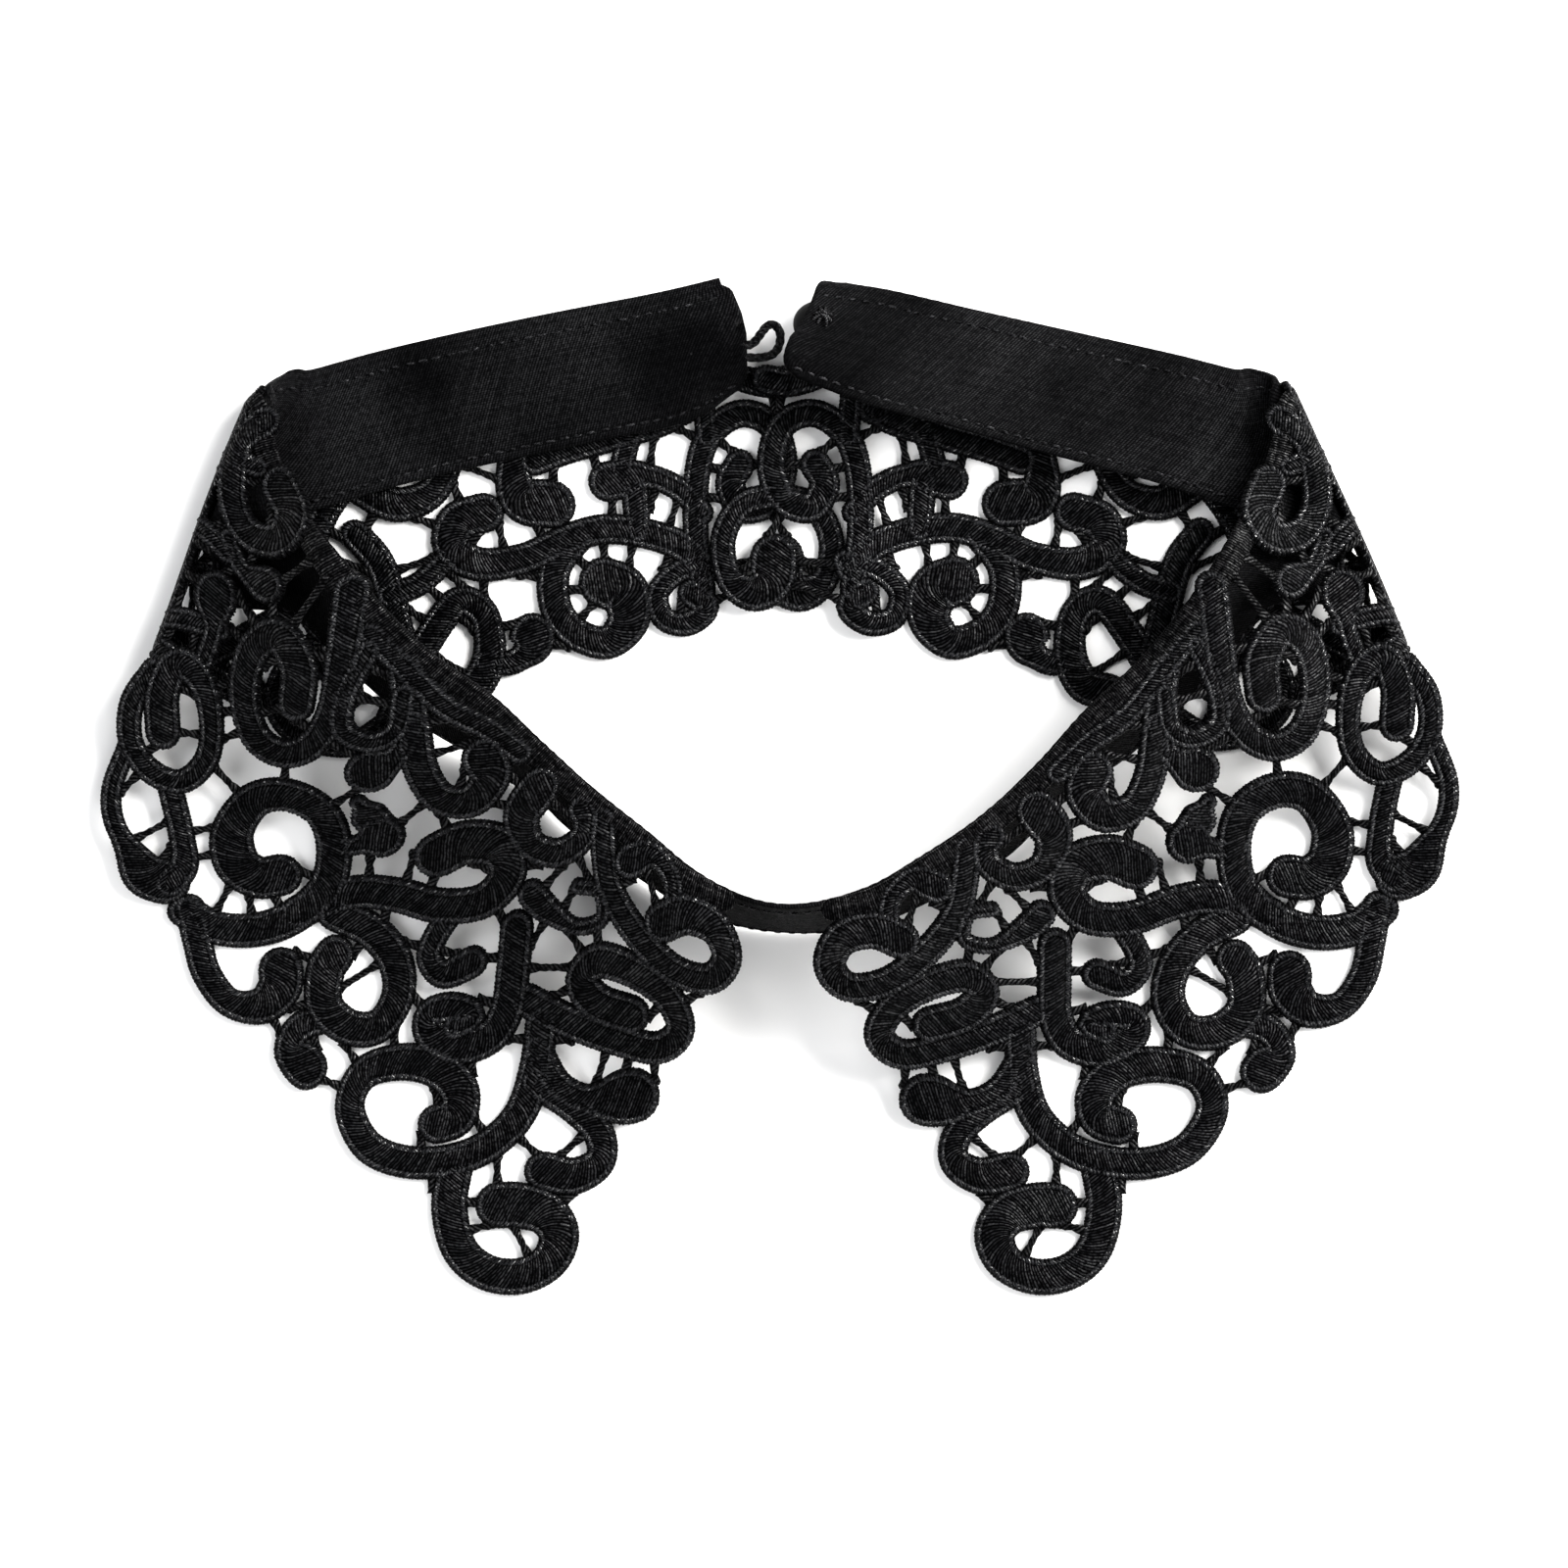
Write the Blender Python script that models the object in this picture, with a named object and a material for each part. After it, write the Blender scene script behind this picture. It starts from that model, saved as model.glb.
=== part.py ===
"""Detachable collar of black guipure lace on a twill neckband, laid down open at the centre back.

Metres, +Z up, the surface it lies on is z = 0, +Y is the back of the neck.  The back of each fall lies
inside up under the band.  The fall then rolls over at the side and its front lies right side up.
Sketch points are pixels of the photograph, six to the millimetre, for the half at +X.
The half at -X is the mirror image, with its roll line a few millimetres nearer the middle.
"""
import math

import bmesh
import bpy
import numpy as np
from mathutils import Vector
from mathutils.geometry import delaunay_2d_cdt

# Driving sizes in millimetres
MM = 0.001
PIXELS_PER_MM = 6.0
SKETCH_CENTRE = (793.0, 800.0)
BAND_WIDTH = 22.0
BAND_WALL = 1.0
LACE_WALL = 1.3
SEAM_GAP = 0.3
HEADING = 4.0
ROLL_RADIUS = 3.2
FALL_REACH = 46.0
BAR_WIDTH = 1.1
BAR_REACH = 9.0
LEFT_PULL = 4.8
SMALLEST_GAP = 4.0
MOST_GAPS = 95
GRID_STEP = 0.6

# The side roll's outer edge: where it starts at the neck, its direction and where the lace ends on it
ROLL_START = (1322.0, 408.0)
ROLL_DIRECTION = (0.423, -0.906)
ROLL_END = 45.5
FLAT_START = 48.5

# Band stations of one half, closure end first: top edge x, y (pixels), its z, then the way across the
# band to the foot edge: plan angle (degrees), length (mm) and z of the foot (mm)
BAND_BACK = (
    (847.0, 286.0, 4.8, -104.0, 22.0, 15.5),
    (900.0, 296.0, 4.4, -103.5, 22.0, 14.0),
    (1000.0, 318.0, 2.6, -103.0, 22.0, 11.0),
    (1100.0, 340.0, 2.2, -103.0, 22.0, 8.0),
    (1200.0, 363.0, 2.2, -100.0, 22.2, 5.5),
    (1255.0, 377.0, 2.2, -90.0, 23.0, 2.6),
)
BAND_FRONT = (
    (1292.0, 445.0, 10.0, -62.0, 26.0, 3.8),
    (1280.0, 482.0, 16.0, -58.0, 24.5, 3.0),
    (1262.0, 517.0, 20.0, -50.0, 23.2, 2.6),
    (1238.0, 560.0, 21.5, -44.0, 22.4, 2.4),
    (1205.0, 615.0, 22.0, -42.0, 22.0, 2.3),
    (1165.0, 668.0, 22.2, -44.0, 22.0, 2.3),
    (1107.0, 723.0, 22.2, -45.0, 22.0, 2.3),
    (1060.0, 776.0, 22.2, -47.0, 22.0, 0.9),
    (1000.0, 832.0, 22.0, -52.0, 22.0, 0.9),
    (940.0, 873.0, 21.9, -60.0, 21.6, 0.9),
    (880.0, 907.0, 21.8, -74.0, 21.1, 0.9),
    (793.0, 922.0, 21.8, -90.0, 20.7, 0.9),
)
# The closure ends' own station, in place of the first one above: right end, then left end
BAND_ENDS = {1: (838.5, 287.0, 4.8, -110.0, 20.2, 14.8), -1: (852.0, 284.0, 2.2, -105.5, 19.4, 3.9)}
CORNER_MIDDLE = 1276.0
BAND_ROLL_TOP = (-5.4, -1.2)
BAND_ROLL_LENGTH = 27.0

# How the two halves lie off the plain mirrored sketch: place outward and back from the middle (mm), then
# shift inward and back (mm).  The shift fades out round each place and toward the middle of the collar.
LIE_REACH = 14.0
LEFT_LIE = (
    (85, 62, -2.8, 0.0), (57, 77, -1.2, 0.6), (96, 49, -1.8, -2.0), (101, 30, 0.4, -1.6), (100, 13, 0.8, -4.2),
    (108, -9, 1.5, -3.4), (78, 17, 1.0, -4.0), (80, -10, 3.0, 1.0), (86, -37, 3.3, 0.7), (54, -19, 3.6, 1.6),
    (50, 12, 2.2, -0.9), (27, -5, 0.7, 0.8), (26, -41, 1.0, -0.7), (51, -54, 0.3, 0.3), (46, -74, 0.0, 0.0),
    (57, 30, 1.6, -0.3), (37, 37, 1.6, -1.0), (111, 14, 2.3, -3.2), (98, -31, 4.2, 0.8),
)
RIGHT_LIE = (
    (94, 51, -0.7, -1.9), (102, 32, -1.6, -1.7), (102, 13, 0.3, -2.6), (107, -9, 0.3, -1.3), (80, -10, 0.2, 0.0),
    (86, -37, 0.3, 0.0), (54, -19, 0.6, -0.2), (50, 12, 0.9, -0.9), (37, 37, 0.9, -0.6), (46, -60, 0.3, 0.0),
    (85, 62, -0.6, 0.6), (57, 77, 0.0, 0.0), (112, 14, 1.3, -1.6), (102, -31, 0.9, 0.0),
)

# Scrolls of the front, right side up: name, stem width and end width (mm), centre line (pixels)
FRONT_SCROLLS = (
    ("tip", 6.2, 7.9, ((1122, 1188), (1128, 1232), (1117, 1275), (1090, 1298), (1055, 1302), (1026, 1287),
                       (1016, 1260), (1030, 1238), (1058, 1230), (1078, 1230))),
    ("lower ring", 5.6, 6.8, ((1042, 1050), (1045, 1095), (1058, 1138), (1090, 1170), (1130, 1185),
                              (1175, 1186), (1215, 1170), (1238, 1132), (1225, 1098), (1185, 1086),
                              (1145, 1092), (1120, 1115), (1122, 1140), (1142, 1148))),
    ("post", 6.0, 4.6, ((1077, 962), (1077, 1000), (1078, 1035), (1092, 1062), (1125, 1072), (1155, 1058),
                        (1158, 1040), (1135, 1034), (1112, 1042), (1130, 1053))),
    ("inner leaf", 5.4, 6.2, ((1060, 1030), (1010, 1052), (960, 1068), (920, 1074), (897, 1055), (910, 1025),
                              (945, 1003), (985, 993), (1003, 1010), (985, 1032), (948, 1043))),
    ("front end", 5.0, 6.6, ((990, 840), (985, 890), (975, 930), (945, 968), (905, 998), (865, 1004),
                             (846, 982), (858, 955), (890, 946), (918, 956))),
    ("neck curl", 5.0, 7.6, ((1018, 828), (1006, 852), (1010, 878), (1036, 892), (1064, 880), (1074, 850),
                             (1058, 824))),
    ("neck leaf", 4.0, 6.0, ((905, 950), (908, 915), (930, 895), (955, 902))),
    ("small s", 2.8, 5.2, ((1012, 925), (988, 930), (984, 955), (1012, 962), (1045, 945), (1062, 930))),
    ("neck hook", 5.4, 7.0, ((1185, 680), (1178, 740), (1172, 785), (1155, 820), (1125, 828), (1106, 805),
                             (1114, 782))),
    ("hook bud", 4.4, 8.2, ((1178, 735), (1190, 765), (1218, 782))),
    ("ring leaf", 3.8, 8.0, ((1264, 862), (1238, 864), (1212, 856))),
    ("ring leaf tip", 6.2, 3.0, ((1213, 850), (1231, 815))),
    ("great ring", 6.2, 7.8, ((1412, 925), (1385, 945), (1345, 950), (1305, 938), (1270, 908), (1259, 865),
                              (1268, 825), (1300, 802), (1335, 805), (1360, 838), (1358, 875), (1338, 893),
                              (1316, 892))),
    ("long trunk", 6.0, 8.0, ((1300, 933), (1245, 915), (1200, 920), (1155, 935), (1112, 933), (1088, 908),
                              (1097, 880), (1130, 872), (1158, 882))),
    ("lower curl", 6.0, 6.9, ((1262, 936), (1225, 955), (1200, 985), (1194, 1020), (1212, 1050),
                              (1245, 1052), (1272, 1030), (1272, 995), (1262, 978))),
    ("small c", 4.4, 5.4, ((1140, 936), (1158, 962), (1165, 985), (1148, 1002), (1120, 992))),
    ("side cup", 5.0, 7.8, ((1408, 920), (1402, 960), (1394, 995), (1372, 1025), (1340, 1030), (1320, 1012),
                            (1318, 992))),
    ("side bud", 4.2, 5.4, ((1272, 1040), (1300, 1055), (1313, 1080), (1292, 1098))),
    ("outer leg", 3.6, 8.6, ((1462, 742), (1479, 785), (1478, 820), (1462, 855), (1448, 880), (1430, 890))),
    ("inner leg", 4.4, 5.6, ((1420, 785), (1412, 830), (1410, 870), (1425, 892))),
    ("side spiral", 4.4, 6.2, ((1432, 668), (1456, 700), (1459, 738), (1440, 768), (1408, 780), (1380, 755),
                               (1374, 710), (1385, 675), (1408, 662), (1424, 690), (1425, 728))),
    ("middle spiral", 5.4, 6.4, ((1228, 596), (1238, 660), (1248, 710), (1270, 745), (1300, 755),
                                 (1328, 735), (1338, 690), (1325, 648), (1298, 636), (1280, 665),
                                 (1284, 702))),
    ("crease leaf", 3.8, 8.0, ((1385, 668), (1368, 632), (1362, 595))),
    ("corner spiral", 5.4, 6.4, ((1300, 428), (1328, 448), (1336, 480), (1335, 515), (1318, 540),
                                 (1290, 545), (1274, 522), (1286, 492))),
    ("corner bud", 3.4, 6.0, ((1345, 540), (1332, 570), (1306, 588))),
    ("neck stem", 4.0, 4.2, ((1215, 640), (1185, 680), (1150, 725), (1110, 755), (1078, 785))),
    ("neck eye", 3.8, 4.0, ((1215, 655), (1235, 695), (1240, 732), (1215, 750), (1192, 740), (1186, 705))),
    ("inner bud", 4.8, 9.2, ((1045, 1075), (1020, 1112), (985, 1126), (945, 1121))),
    ("inner hook", 5.2, 6.8, ((1044, 1108), (1005, 1132), (978, 1158), (976, 1185), (1002, 1200),
                              (1032, 1195))),
)
# Scrolls of the back, seen from inside, same columns
BACK_SCROLLS = (
    ("back trunk", 5.2, 6.6, ((868, 580), (895, 555), (935, 540), (980, 536), (1020, 548), (1060, 566),
                              (1105, 572), (1132, 555), (1125, 530), (1098, 520))),
    ("back spiral", 5.6, 8.8, ((1005, 543), (1028, 575), (1028, 615), (1008, 642), (975, 652), (953, 630),
                               (957, 600), (978, 590))),
    ("back curl", 4.2, 5.0, ((862, 572), (900, 580), (922, 602), (915, 628), (888, 634), (868, 618),
                             (886, 602))),
    ("end loop", 4.8, 5.4, ((872, 600), (880, 540), (877, 480), (862, 442), (830, 422), (798, 435),
                            (787, 475), (800, 510), (828, 518), (842, 494), (832, 474))),
    ("end foot", 4.2, 6.0, ((797, 505), (758, 515), (738, 550), (744, 590), (768, 604), (790, 590),
                            (789, 570))),
    ("end edge", 4.4, 5.2, ((880, 316), (866, 352), (838, 382), (804, 391), (782, 388))),
    ("end stay", 3.8, 4.0, ((884, 310), (872, 370), (866, 445))),
    ("back leaf", 4.2, 6.8, ((872, 522), (900, 495), (935, 482), (972, 488))),
    ("leaf foot", 4.8, 4.2, ((945, 490), (942, 538))),
    ("back hook", 4.8, 8.2, ((1030, 350), (1042, 410), (1064, 462), (1062, 505), (1030, 511))),
    ("valley bud", 4.4, 8.0, ((1100, 670), (1075, 672), (1056, 660), (1052, 645))),
    ("back ring", 5.2, 6.2, ((1190, 700), (1160, 650), (1128, 610), (1102, 622), (1096, 662), (1110, 694),
                             (1136, 702))),
    ("under band curl", 4.2, 5.0, ((958, 475), (945, 440), (918, 422), (890, 418))),
    ("under band leaf", 5.0, 6.6, ((1046, 468), (1010, 455), (960, 441), (905, 420))),
    ("side hook", 4.4, 6.2, ((1105, 360), (1118, 440), (1142, 495), (1180, 512), (1212, 494))),
    ("side stem", 5.0, 5.6, ((1222, 540), (1202, 570), (1190, 620), (1180, 680), (1196, 728))),
    ("side link", 4.0, 4.2, ((1130, 560), (1165, 590), (1196, 600))),
    ("side spiral back", 5.0, 6.2, ((1196, 728), (1235, 748), (1285, 735), (1308, 700), (1290, 664),
                                    (1254, 664), (1240, 694))),
    ("upper branch", 4.6, 5.2, ((1200, 400), (1215, 470), (1250, 520), (1275, 575), (1262, 625),
                                (1225, 630))),
    ("notch branch", 4.6, 5.0, ((1305, 705), (1345, 690), (1385, 668), (1412, 652))),
    ("upper link", 4.4, 4.6, ((1255, 528), (1305, 560), (1352, 580), (1385, 575))),
    ("middle link", 4.2, 4.4, ((1268, 600), (1320, 625), (1370, 650), (1392, 655))),
    ("corner link", 4.4, 4.6, ((1262, 420), (1290, 470), (1330, 510), (1355, 520))),
)
# Scrolls on the side roll: distance along the roll and past its crown (mm), same widths
ROLL_SCROLLS = (
    ("roll stem", 4.8, 5.0, ((-2.0, -4.6), (8.0, -5.2), (20.0, -5.6), (32.0, -5.4), (43.0, -5.0))),
    ("roll rib a", 3.8, 4.0, ((9.0, 3.0), (10.0, -4.0), (14.0, -12.0))),
    ("roll rib b", 3.8, 4.0, ((24.0, 3.0), (22.0, -4.0), (25.0, -12.0))),
    ("roll rib c", 4.0, 4.2, ((36.0, 6.0), (37.0, 0.0), (39.0, -6.0), (40.0, -12.0))),
    ("roll rib d", 4.4, 4.6, ((45.0, 5.0), (43.6, -1.0), (43.0, -6.0), (43.6, -12.0))),
)
# Eyes of the big rings, which no thread bar crosses: x, y and radius (pixels)
OPEN_EYES = (
    (1311, 848, 34), (1182, 1132, 38), (885, 978, 20), (1018, 1152, 22), (1358, 980, 24),
    (1118, 965, 20), (1034, 866, 14), (1145, 790, 14), (945, 945, 12),
)
# Line through the outer scrolls, inside which the thread bars are thrown (pixels)
FRONT_EDGE = (
    (793, 900), (858, 955), (846, 985), (897, 1050), (943, 1121), (978, 1180), (1018, 1262), (1058, 1302),
    (1127, 1240), (1185, 1187), (1236, 1130), (1300, 1090), (1345, 1030), (1394, 995), (1425, 900),
    (1448, 880), (1478, 800), (1459, 715), (1432, 668), (1400, 560), (1330, 430), (1300, 415),
)


def to_mm(points):
    """Sketch pixels to millimetres about the collar's middle, y up."""
    points = np.asarray(points, dtype=float)
    return np.column_stack(((points[:, 0] - SKETCH_CENTRE[0]) / PIXELS_PER_MM,
                            (SKETCH_CENTRE[1] - points[:, 1]) / PIXELS_PER_MM))


ALONG = np.array(ROLL_DIRECTION) / np.hypot(*ROLL_DIRECTION)
INWARD = np.array((ALONG[1], -ALONG[0]))
AXIS_START = to_mm([ROLL_START])[0] + INWARD * (ROLL_RADIUS + LACE_WALL / 2)
ROLL_ARC = math.pi * ROLL_RADIUS
LOW_Z = LACE_WALL / 2
CROWN_Z = LOW_Z + 2 * ROLL_RADIUS


def smooth_step(t):
    """3t^2 - 2t^3 between 0 and 1."""
    t = np.clip(t, 0.0, 1.0)
    return t * t * (3 - 2 * t)


def spline(points, step):
    """Catmull-Rom curve through the rows of points, sampled about every step."""
    points = np.asarray(points, dtype=float)
    padded = np.vstack((2 * points[0] - points[1], points, 2 * points[-1] - points[-2]))
    rows = []
    for i in range(1, len(padded) - 2):
        a, b, c, d = padded[i - 1:i + 3]
        count = max(2, int(np.ceil(np.linalg.norm(c - b) / step)))
        t = np.linspace(0, 1, count, endpoint=False)[:, None]
        rows.append(0.5 * (2 * b + (c - a) * t + (2 * a - 5 * b + 4 * c - d) * t ** 2
                           + (3 * b - a - 3 * c + d) * t ** 3))
    rows.append(points[-1][None, :])
    return np.vstack(rows)


def roll_coordinates(points):
    """Distance along the side roll, and inward from its axis."""
    offset = points - AXIS_START
    return offset @ ALONG, offset @ INWARD


def from_roll(along, inward):
    """The inverse: flat pattern points from distances along and inward."""
    return AXIS_START + np.outer(along, ALONG) + np.outer(inward, INWARD)


def unfold_back(points):
    """Plan points of the back layer to the flat pattern, where they lie beyond the roll."""
    along, inward = roll_coordinates(points)
    return from_roll(along, -ROLL_ARC - inward)


def band_top(rows):
    return to_mm([row[:2] for row in rows])


def neck_line():
    """The neck edge of one fall in the flat pattern, front end first, and the lace's z there."""
    front = band_top(BAND_FRONT)[::-1]
    heights = [row[2] for row in BAND_FRONT][::-1]
    back = unfold_back(band_top(BAND_BACK))[::-1]
    roll = from_roll(np.array([-1.2, -3.3, -5.4]), np.array([0.0, -ROLL_ARC / 2, -ROLL_ARC]))
    points = np.vstack((front, roll, back))
    lift = [z + 1.0 + 0.55 * (1 - smooth_step((z - 5.5) / 16)) for z in heights]
    heights = np.array(lift + [CROWN_Z] * (len(roll) + len(back)))
    return points, heights


NECK_POINTS, NECK_HEIGHTS = neck_line()
FRONT_COUNT = len(BAND_FRONT) + 1


def nearest_on_line(points, line, values):
    """Distance from each point to a polyline, and the line's value at the nearest place."""
    best = np.full(len(points), 1e9)
    value = np.zeros(len(points))
    for a, b, va, vb in zip(line[:-1], line[1:], values[:-1], values[1:]):
        edge = b - a
        t = np.clip(((points - a) @ edge) / (edge @ edge), 0, 1)
        distance = np.linalg.norm(points - (a + t[:, None] * edge), axis=1)
        near = distance < best
        best[near] = distance[near]
        value[near] = (va + (vb - va) * t)[near]
    return best, value


def front_height(points):
    """Height of the front layer: high at the neck edge, easing down to rest over FALL_REACH."""
    distance, neck = nearest_on_line(points, NECK_POINTS[:FRONT_COUNT], NECK_HEIGHTS[:FRONT_COUNT])
    along, inward = roll_coordinates(points)
    rest = LOW_Z + 1.9 * smooth_step((points[:, 1] + 8.0) / 14.0)
    ease = 0.5 + 0.5 * np.cos(math.pi * np.clip(distance / FALL_REACH, 0, 1))
    main = rest + (neck - rest) * ease
    crown = CROWN_Z + (LOW_Z + 1.9 - CROWN_Z) * smooth_step((along - 44.0) / 26.0)
    return crown + (main - crown) * smooth_step(inward / 20.0)


def place_lace(pattern, side):
    """Flat pattern points to the lace's middle surface, in millimetres; side is 1 or -1."""
    along, inward = roll_coordinates(pattern)
    flat = (inward >= 0) | ((along > 0.5 * (ROLL_END + FLAT_START)) & (inward > -0.7 * ROLL_ARC))
    out = np.zeros((len(pattern), 3))
    out[:, :2] = pattern
    out[:, 2] = front_height(pattern)
    rolled = ~flat & (inward > -ROLL_ARC)
    angle = -inward / ROLL_RADIUS
    out[rolled, :2] = (AXIS_START + np.outer(along, ALONG)
                       - np.outer(ROLL_RADIUS * np.sin(angle), INWARD))[rolled]
    out[rolled, 2] = LOW_Z + ROLL_RADIUS * (1 + np.cos(angle[rolled]))
    back = ~flat & (inward <= -ROLL_ARC)
    plan = AXIS_START + np.outer(along, ALONG) + np.outer(-inward - ROLL_ARC, INWARD)
    out[back, :2] = plan[back]
    lift = 1.65 * smooth_step((22.0 - plan[:, 0]) / 9.0) if side > 0 else 0.0 * inward
    out[back, 2] = LOW_Z + lift[back]
    if side < 0:
        out[flat] = pull_in(out[flat], pattern[flat])
        out[:, 0] *= -1
    return shift_to_lie(out, side)


def shift_to_lie(points, side):
    """Moves points (mm) in plan by the average of the lie's shifts, each weighted by a bell round its place."""
    table = np.array(LEFT_LIE if side < 0 else RIGHT_LIE, dtype=float)
    outward = points[:, 0] * side
    away = (outward[:, None] - table[:, 0]) ** 2 + (points[:, 1][:, None] - table[:, 1]) ** 2
    weight = np.exp(-away / (2 * LIE_REACH ** 2))
    shift = weight @ table[:, 2:] / (weight.sum(axis=1) + 0.2)[:, None]
    shift = shift * smooth_step(outward / 22.0)[:, None]
    moved = points.copy()
    moved[:, 0] -= side * shift[:, 0]
    moved[:, 1] += shift[:, 1]
    return moved


def pull_in(points, pattern):
    """Left half only: its neck edge lies up to LEFT_PULL nearer the middle of the neck."""
    distance, _ = nearest_on_line(pattern, NECK_POINTS[:FRONT_COUNT], NECK_HEIGHTS[:FRONT_COUNT])
    amount = LEFT_PULL * np.sin(math.pi * np.clip(pattern[:, 0] / 76.0, 0, 1))
    amount = amount * np.clip(1 - distance / 50.0, 0, 1)
    direction = np.array((0.0, 50.0)) - pattern
    direction /= np.linalg.norm(direction, axis=1)[:, None]
    moved = points.copy()
    moved[:, :2] += direction * amount[:, None]
    return moved


def lace_normals(pattern, side):
    """Unit normals of the middle surface, by differences along the two pattern axes."""
    h = 0.05
    du = place_lace(pattern + (h, 0), side) - place_lace(pattern - (h, 0), side)
    dv = place_lace(pattern + (0, h), side) - place_lace(pattern - (0, h), side)
    normal = np.cross(du, dv) * side
    return normal / np.linalg.norm(normal, axis=1)[:, None]


def stroke_discs():
    """Every scroll and the neck heading as discs (x, y, radius) in the flat pattern."""
    strokes = [(spline(to_mm(row[3]), 1.0), row[1], row[2]) for row in FRONT_SCROLLS]
    strokes += [(unfold_back(spline(to_mm(row[3]), 1.0)), row[1], row[2]) for row in BACK_SCROLLS]
    for _, stem, end, line in ROLL_SCROLLS:
        line = spline(np.array(line), 1.0)
        strokes.append((from_roll(line[:, 0], line[:, 1]), stem, end))
    discs = []
    for points, stem, end in strokes:
        run = np.concatenate(([0.0], np.cumsum(np.linalg.norm(np.diff(points, axis=0), axis=1))))
        grow = smooth_step((run / run[-1] - 0.55) / 0.4)
        discs.append(np.column_stack((points, 0.5 * (stem + (end - stem) * grow))))
    return discs


def heading_discs():
    """The plain strip along the neck edge, its outer side on the seam line."""
    line = spline(NECK_POINTS, 1.0)
    tangent = np.gradient(line, axis=0)
    tangent /= np.linalg.norm(tangent, axis=1)[:, None]
    outward = np.column_stack((tangent[:, 1], -tangent[:, 0]))
    keep = (line[:, 0] > 9.0) & (np.arange(len(line)) < len(line) - 3)
    return np.column_stack((line + outward * HEADING / 2, np.full(len(line), HEADING / 2)))[keep]


def inside_polygon(points, polygon):
    """Even-odd test for many points."""
    inside = np.zeros(len(points), dtype=bool)
    x, y = points[:, 0], points[:, 1]
    for (x0, y0), (x1, y1) in zip(polygon, np.roll(polygon, -1, axis=0)):
        crosses = (y0 > y) != (y1 > y)
        with np.errstate(divide="ignore", invalid="ignore"):
            at = (x1 - x0) * (y - y0) / (y1 - y0) + x0
        inside ^= crosses & (x < at)
    return inside


class Field:
    """Signed gap field on a grid: negative inside the lace, positive in its gaps, capped at CAP."""

    CAP = 5.0

    def __init__(self, discs):
        margin = 6.0
        self.low = discs[:, :2].min(axis=0) - margin
        high = discs[:, :2].max(axis=0) + margin
        self.shape = tuple(np.ceil((high - self.low) / GRID_STEP).astype(int) + 1)
        self.value = np.full(self.shape, self.CAP)
        self.add(discs)

    def add(self, discs):
        for x, y, r in discs:
            reach = r + self.CAP
            i0, j0 = np.maximum(((x - reach, y - reach) - self.low) / GRID_STEP, 0).astype(int)
            i1, j1 = (((x + reach, y + reach) - self.low) / GRID_STEP).astype(int) + 2
            block = self.value[i0:i1, j0:j1]
            gx = self.low[0] + GRID_STEP * np.arange(i0, i0 + block.shape[0])
            gy = self.low[1] + GRID_STEP * np.arange(j0, j0 + block.shape[1])
            gap = np.hypot(gx[:, None] - x, gy[None, :] - y) - r
            np.minimum(block, gap, out=block)

    def at(self, points):
        place = (points - self.low) / GRID_STEP
        cell = np.clip(place.astype(int), 0, np.array(self.shape) - 2)
        f = place - cell
        i, j = cell[:, 0], cell[:, 1]
        v = self.value
        return ((1 - f[:, 0]) * ((1 - f[:, 1]) * v[i, j] + f[:, 1] * v[i, j + 1])
                + f[:, 0] * ((1 - f[:, 1]) * v[i + 1, j] + f[:, 1] * v[i + 1, j + 1]))


def back_edge():
    """The back's own bar limit in the flat pattern: neck edge, then the scalloped inner edge."""
    inner = ((740, 560), (742, 596), (800, 600), (885, 634), (975, 652), (1056, 665), (1110, 694),
             (1196, 740), (1285, 735), (1390, 665), (1420, 640))
    corner = from_roll(np.array([44.0, 44.0]), np.array([-ROLL_ARC, 4.0]))
    neck = from_roll(np.array([0.0]), np.array([4.0]))
    top = unfold_back(to_mm(((1290, 392), (1000, 322), (850, 300), (790, 395))))
    return np.vstack((unfold_back(to_mm(inner)), corner, neck, top))


def thread_bars(discs, field):
    """Bars thrown straight across each gap from the scroll edges, spaced apart, none in an eye."""
    limits = (np.vstack((to_mm(FRONT_EDGE), NECK_POINTS[:FRONT_COUNT][::-1])), back_edge())
    eyes = np.array(OPEN_EYES, dtype=float)
    eye_centre = to_mm(eyes[:, :2])
    found = []
    for stroke in discs:
        tangent = np.gradient(stroke[:, :2], axis=0)
        tangent /= np.linalg.norm(tangent, axis=1)[:, None] + 1e-9
        across = np.column_stack((tangent[:, 1], -tangent[:, 0]))
        for i in range(1, len(stroke), 2):
            for sign in (-1, 1):
                start = stroke[i, :2] + across[i] * sign * (stroke[i, 2] + 0.25)
                steps = np.arange(0.0, BAR_REACH, 0.3)
                ray = start + np.outer(steps, across[i] * sign)
                gap = field.at(ray)
                if gap[:3].min() < 0.05:
                    continue
                hits = np.nonzero(gap < 0)[0]
                if len(hits) == 0 or steps[hits[0]] < 1.2:
                    continue
                found.append((steps[hits[0]], start, ray[hits[0]]))
    found.sort(key=lambda bar: bar[0])
    kept = []
    for length, a, b in found:
        middle = (a + b) / 2
        if not any(inside_polygon(middle[None, :], limit)[0] for limit in limits) and length > 2.2:
            continue
        if (np.linalg.norm(eye_centre - middle, axis=1) < eyes[:, 2] / PIXELS_PER_MM).any():
            continue
        spaced = all(np.linalg.norm(a - c) > 3.4 and np.linalg.norm(b - d) > 3.4
                     and np.linalg.norm(a - d) > 3.4 and np.linalg.norm(b - c) > 3.4
                     and np.linalg.norm(middle - (c + d) / 2) > 4.0 for c, d in kept)
        if spaced:
            kept.append((a, b))
    return kept


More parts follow.
